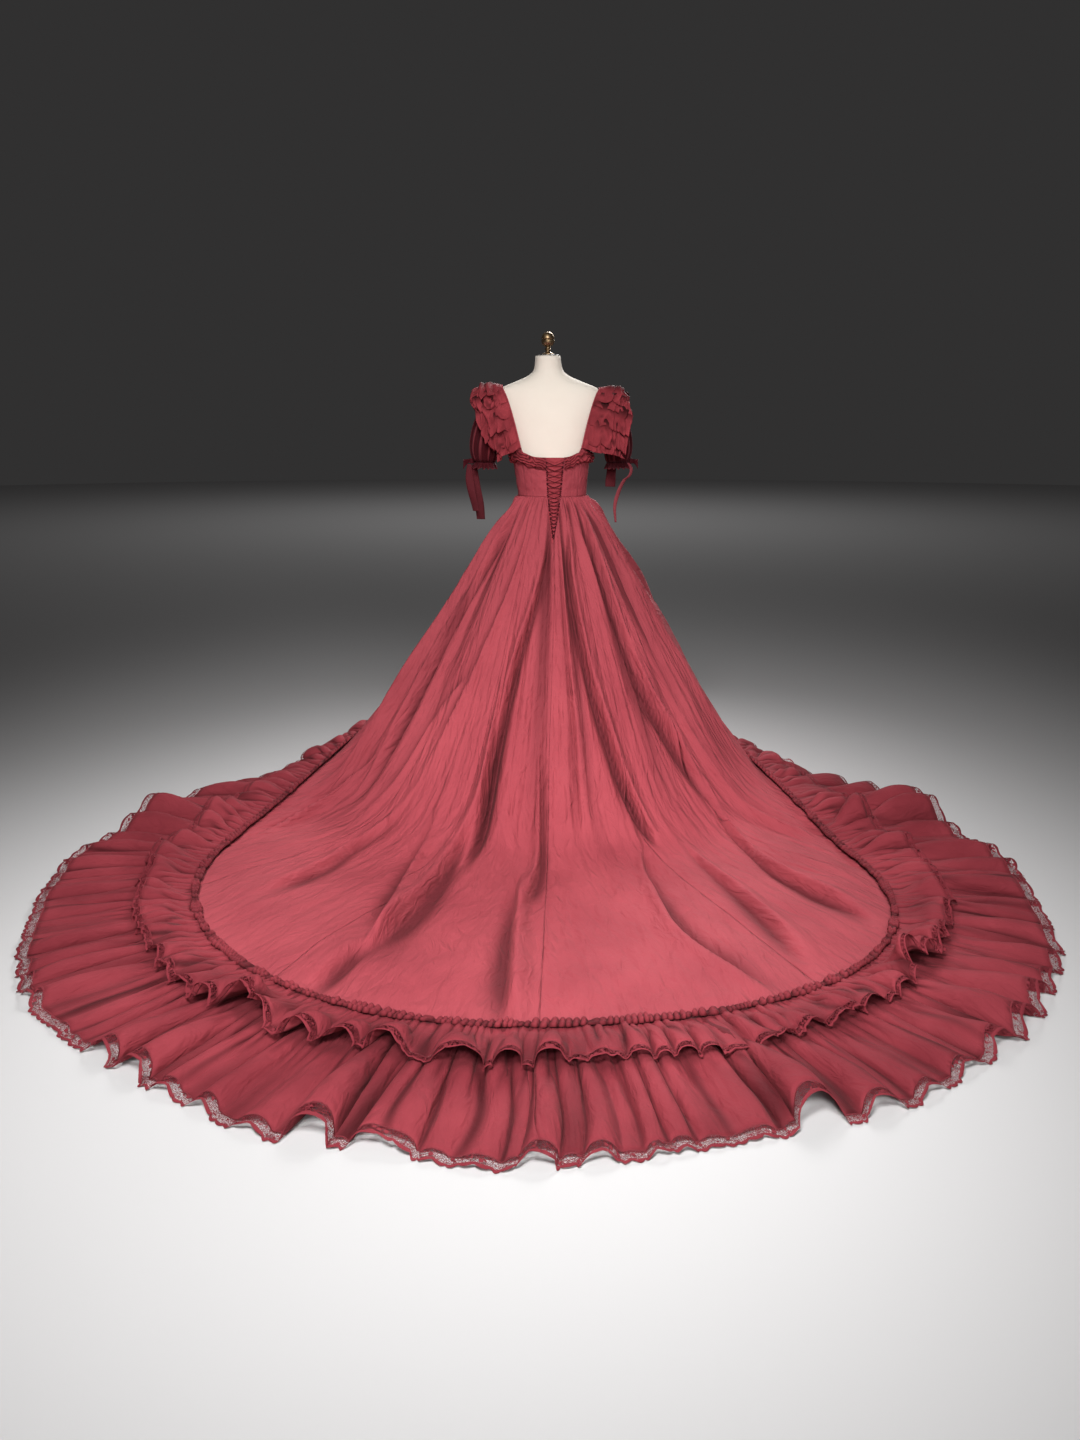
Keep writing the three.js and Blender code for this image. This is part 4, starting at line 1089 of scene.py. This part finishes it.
def rufflePoint(side, s, t, rows, seed):
    # s runs down the rows, t outwards from the neckline
    count = len(rows) - 1
    level = np.clip(s, 0, 1) * count
    row = np.minimum(count - 1, np.floor(level)).astype(int)
    f = level - row
    back, over = ruffles["turnsBack"], ruffles["overlap"]
    edges = np.array(rows, float)
    head, foot = edges[row], edges[row + 1]
    reach, fall, stand = readColumns(ruffles["leftReach" if side < 0 else "rightReach"], mix(head, foot, f))
    # folds run down each row and grow towards its edge; every row has its own rhythm
    drift = 0.9 * planeNoise(t * 3.1, row * 5.0 + 0.4 * f, seed)
    drift = drift + 0.35 * planeNoise(t * 8, row * 3.0 + f, seed + 6)
    phase = 2 * np.pi * (ruffles["waves"] * reach * t + 0.37 * row + 0.01 * seed + drift)
    uneven = 0.85 + 0.55 * planeNoise(t * 5, row * 7.0, seed + 1)
    crest = (0.25 + 0.75 * np.abs(np.cos(phase / 2)) ** 0.8) * np.clip(uneven, 0.3, 1.4)
    # down the row the cloth goes past the next row's head, then turns back under itself
    reached = np.where(f < back, over * f / back, over - (over - 1) * (f - back) / (1 - back))
    raisedBy = np.where(f < back, (f / back) ** 0.5, 1 - (f - back) / (1 - back))
    reached = reached + (0.32 * (crest - 0.6) + 0.34 * planeNoise(t * 5, row * 9.0, seed + 2)) * raisedBy
    turn = np.clip(mix(head, foot, reached), -shoulder["end"] - 8, shoulder["end"])
    across = ruffles["seat"] + 0 * turn
    seat = strapPoint(side, turn, across, strapOut(turn) + 0.0015)
    away = unit(seat - strapPoint(side, turn, across, 0 * turn))
    crumple = layeredNoise(t * reach, level, [(*r[:4], seed + r[4]) for r in ruffles["crumple"]])
    opened = smooth(0.0, 0.14, t)
    lift = opened * (ruffles["rowHeight"] * raisedBy * (0.25 + 0.95 * crest) + crumple)
    points = seat + (stand * np.sin(np.pi * 0.8 * t) + lift)[..., None] * away
    # outwards and down on a quarter turn, with a ragged edge
    bend = 0.5 * np.pi * t ** 0.9
    ragged = 0.14 * (crest - 0.5) + 0.1 * planeNoise(2.3 * level, t * 3, seed + 5)
    points[..., 0] += side * reach * (1 + ragged * smooth(0.3, 1, t)) * np.sin(bend)
    points[..., 2] -= fall * (1 - np.cos(bend)) + 0.012 * raisedBy * opened
    # painted shade: dark at each row's head and foot, in the valleys and in the dents
    paintedShade = np.maximum.reduce([(1 - smooth(0.05, 0.46, f)) * opened, 0.9 * smooth(0.88, 1.0, f),
                                0.55 * (1 - np.minimum(1, crest)) ** 0.9 * raisedBy,
                                0.75 * smooth(0.001, 0.008, -crumple)])
    return points, np.clip(paintedShade, 0, 1)


def makeRuffles(word, side):
    for place, seed, strips in ruffles[word]:
        layers, paintedShades = [], []
        for k, rows in enumerate(strips):
            s, t = grid(56, 18 * (len(rows) - 1))
            points, paintedShade = rufflePoint(side, t, s, rows, seed + 20 * k)
            layers.append(points)
            paintedShades.append(paintedShade)
        node = f"ruffle_{place}_{word}"
        obj = joinGrids(node + "_cloth", layers, "ruffle", [node], inside=(0, 0, 1.35), thickness=0.0009,
                        paintedShades=paintedShades)
        length = float(max(np.linalg.norm(np.diff(g, axis=1), axis=2).sum(axis=1).max() for g in layers))
        surface = sum(surfaceArea(g) for g in layers)
        deep = sum(np.linalg.norm(np.diff(g, axis=0), axis=2).sum(axis=0).max() for g in layers)
        deep = float(min(deep, surface / (ruffles["leastFill"] * length)))


# direction and size of each loop; the knot's own radius, depth and height
bow = {"ribbon": 0.026, "loops": [(-1, 1.35), (1, 1.2)], "standOff": 0.0036, "reach": 0.018, "sag": 0.01,
       "crush": 0.003, "knot": (0.0075, 0.008, 0.018)}


def makeBow(word, side):
    # two loops of ribbon from a knot: each a teardrop whose ribbon stands upright
    seat = sleevePoint(side, np.array(0.0), np.array(1.0)) + np.array([side * bow["standOff"], 0, 0])
    grids = []
    for way, size in bow["loops"]:
        s, t = grid(6, 36)
        along = np.sin(np.pi * t) ** 0.8
        x = side * (0.006 + 0.004 * along) + way * (0.002 + bow["reach"] * along) * size
        y = -0.01 * along + 0.011 * np.sin(2 * np.pi * t) * (0.4 + 0.6 * along)
        crushed = bow["crush"] * np.sin(9 * t + 4 * s) * along
        z = (s - 0.5) * mix(0.01, 0.03, along) + 0.004 - bow["sag"] * size * along ** 2 + crushed
        grids.append(seat + point(x, y + crushed, z))
    s, t = grid(6, 20)
    turn = 2 * np.pi * t
    radius, depth, height = bow["knot"]
    grids.append(seat + point(side * (0.007 + radius * np.cos(turn)), depth * np.sin(turn) - 0.004,
                              (s - 0.5) * height + 0.003))
    obj = joinGrids(f"bow_{word}_ribbon", grids, "velvet", [f"bow_{word}"], inside=tuple(seat),
                    thickness=0.0008)


# ribbon ends: x, z and width at points down each tail, its y at both ends, its turn and how much painted
# sheen lightens it
tails = {
    "left": [([(0, -.302, 1.25, .016), (.35, -.301, 1.196, .03), (.7, -.291, 1.134, .031),
               (1, -.278, 1.078, .026)], -.012, -.03, 14, .16),
             ([(0, -.284, 1.248, .02), (.35, -.28, 1.18, .032), (.7, -.268, 1.11, .034),
               (1, -.262, 1.045, .035)], .004, .01, -12, .16)],
    "right": [([(0, .291, 1.256, .012), (.09, .303, 1.232, .013), (.17, .297, 1.208, .014),
                (.26, .278, 1.192, .017), (.42, .257, 1.15, .018), (.72, .243, 1.095, .012),
                (1, .247, 1.036, .007)], -.01, -.024, 20, .75),
              ([(0, .232, 1.25, .026), (.35, .23, 1.225, .036), (.7, .228, 1.196, .038),
                (1, .227, 1.166, .038)], .008, .014, -8, .12)],
    "twist": 18, "curl": 0.0035, "cup": 0.002, "slant": 0.05,
}


def makeTails(word, side):
    for k, (path, nearY, farY, turned, paintedSheen) in enumerate(tails[word]):
        s, t = grid(6, 44)
        x, z, width = readColumns(path, t)
        turn = np.radians(turned * side + tails["twist"] * np.sin(2 * np.pi * (0.9 * t + 0.3 * k)))
        across = (s - 0.5) * width
        curl = tails["curl"] * np.sin(2 * np.pi * (1.2 * t + 0.25 * k)) * t
        cup = tails["cup"] * (1 - (2 * s - 1) ** 2)
        points = point(x + across * np.cos(turn), mix(nearY, farY, t) + across * np.sin(turn) + curl - cup,
                       z - tails["slant"] * across)
        node = f"ribbon_tail_{word}_{k + 1}"
        # the crest mark lightens the whole tail: a painted sheen, stronger on the turned tail
        cloth(node + "_cloth", points, "velvet", node, (0, 3, 1.2),
              {"crest": paintedSheen}, thickness=0.0008)


def makeShoulders():
    for word, side in (("left", -1), ("right", 1)):
        for make in (makeStrap, makeSleeve, makeRuffles, makeBow, makeTails):
            make(word, side)
    print("shoulders made", counts["triangles"])


# lamps: a large soft key over the train, a fill, one for the gown's front and one for the far floor;
# a row holds the place, the target, the size, the power in watts and the spread in degrees
stage = {
    "floorRadius": 26, "floorColor": (0.59, 0.58, 0.58), "skyColor": (0.8, 0.78, 0.78),
    "skyStrength": 0.038,
    "lamps": {"key": ((-0.6, -4.6, 4.2), (-0.1, -1.45, 0.1), 1.5, 50, 60),
              "fill": ((0.7, -5.2, 2.4), (0, -0.4, 0.85), 2.0, 16, 56),
              "front": ((0.9, 3.4, 3.2), (0, -0.1, 0.9), 1.8, 18, 40),
              "far floor": ((0.0, 13.0, 9.0), (0.0, 13.1, 0.0), 5.0, 125, 150)},
}


def makeStage():
    turn = np.linspace(0, 2 * np.pi, 97)[:-1]
    rim = point(stage["floorRadius"] * np.cos(turn), stage["floorRadius"] * np.sin(turn), -0.0006)
    mesh = bpy.data.meshes.new("floor")
    mesh.from_pydata([tuple(map(float, p)) for p in rim], [], [tuple(range(len(rim)))])
    floor = bpy.data.objects.new("floor", mesh)
    scene.collection.objects.link(floor)
    material, shader = newMaterial("floor paint")
    feed(material, shader, {"Base Color": (*stage["floorColor"], 1), "Roughness": 0.9})
    mesh.materials.append(material)
    for name, (place, target, size, power, spread) in stage["lamps"].items():
        data = bpy.data.lights.new(name, "AREA")
        data.size = size
        data.energy = power
        data.spread = np.radians(spread)
        lamp = bpy.data.objects.new(name, data)
        lamp.location = place
        x, y, z = np.array(target) - np.array(place)
        lamp.rotation_euler = (np.arctan2(np.hypot(x, y), -z), 0, np.arctan2(y, x) - np.pi / 2)
        scene.collection.objects.link(lamp)
    world = bpy.data.worlds.new("studio")
    world.use_nodes = True
    sky = world.node_tree.nodes["Background"]
    sky.inputs["Color"].default_value = (*stage["skyColor"], 1)
    sky.inputs["Strength"].default_value = stage["skyStrength"]
    scene.world = world
    print("stage made")


makeStage()
makeForm()
makeStand()
makeSkirt()
makeFlounces()
makeHeading()
makeBodice()
makeBand()
makeLacing()
makeShoulders()
print("triangles in all", counts["triangles"])
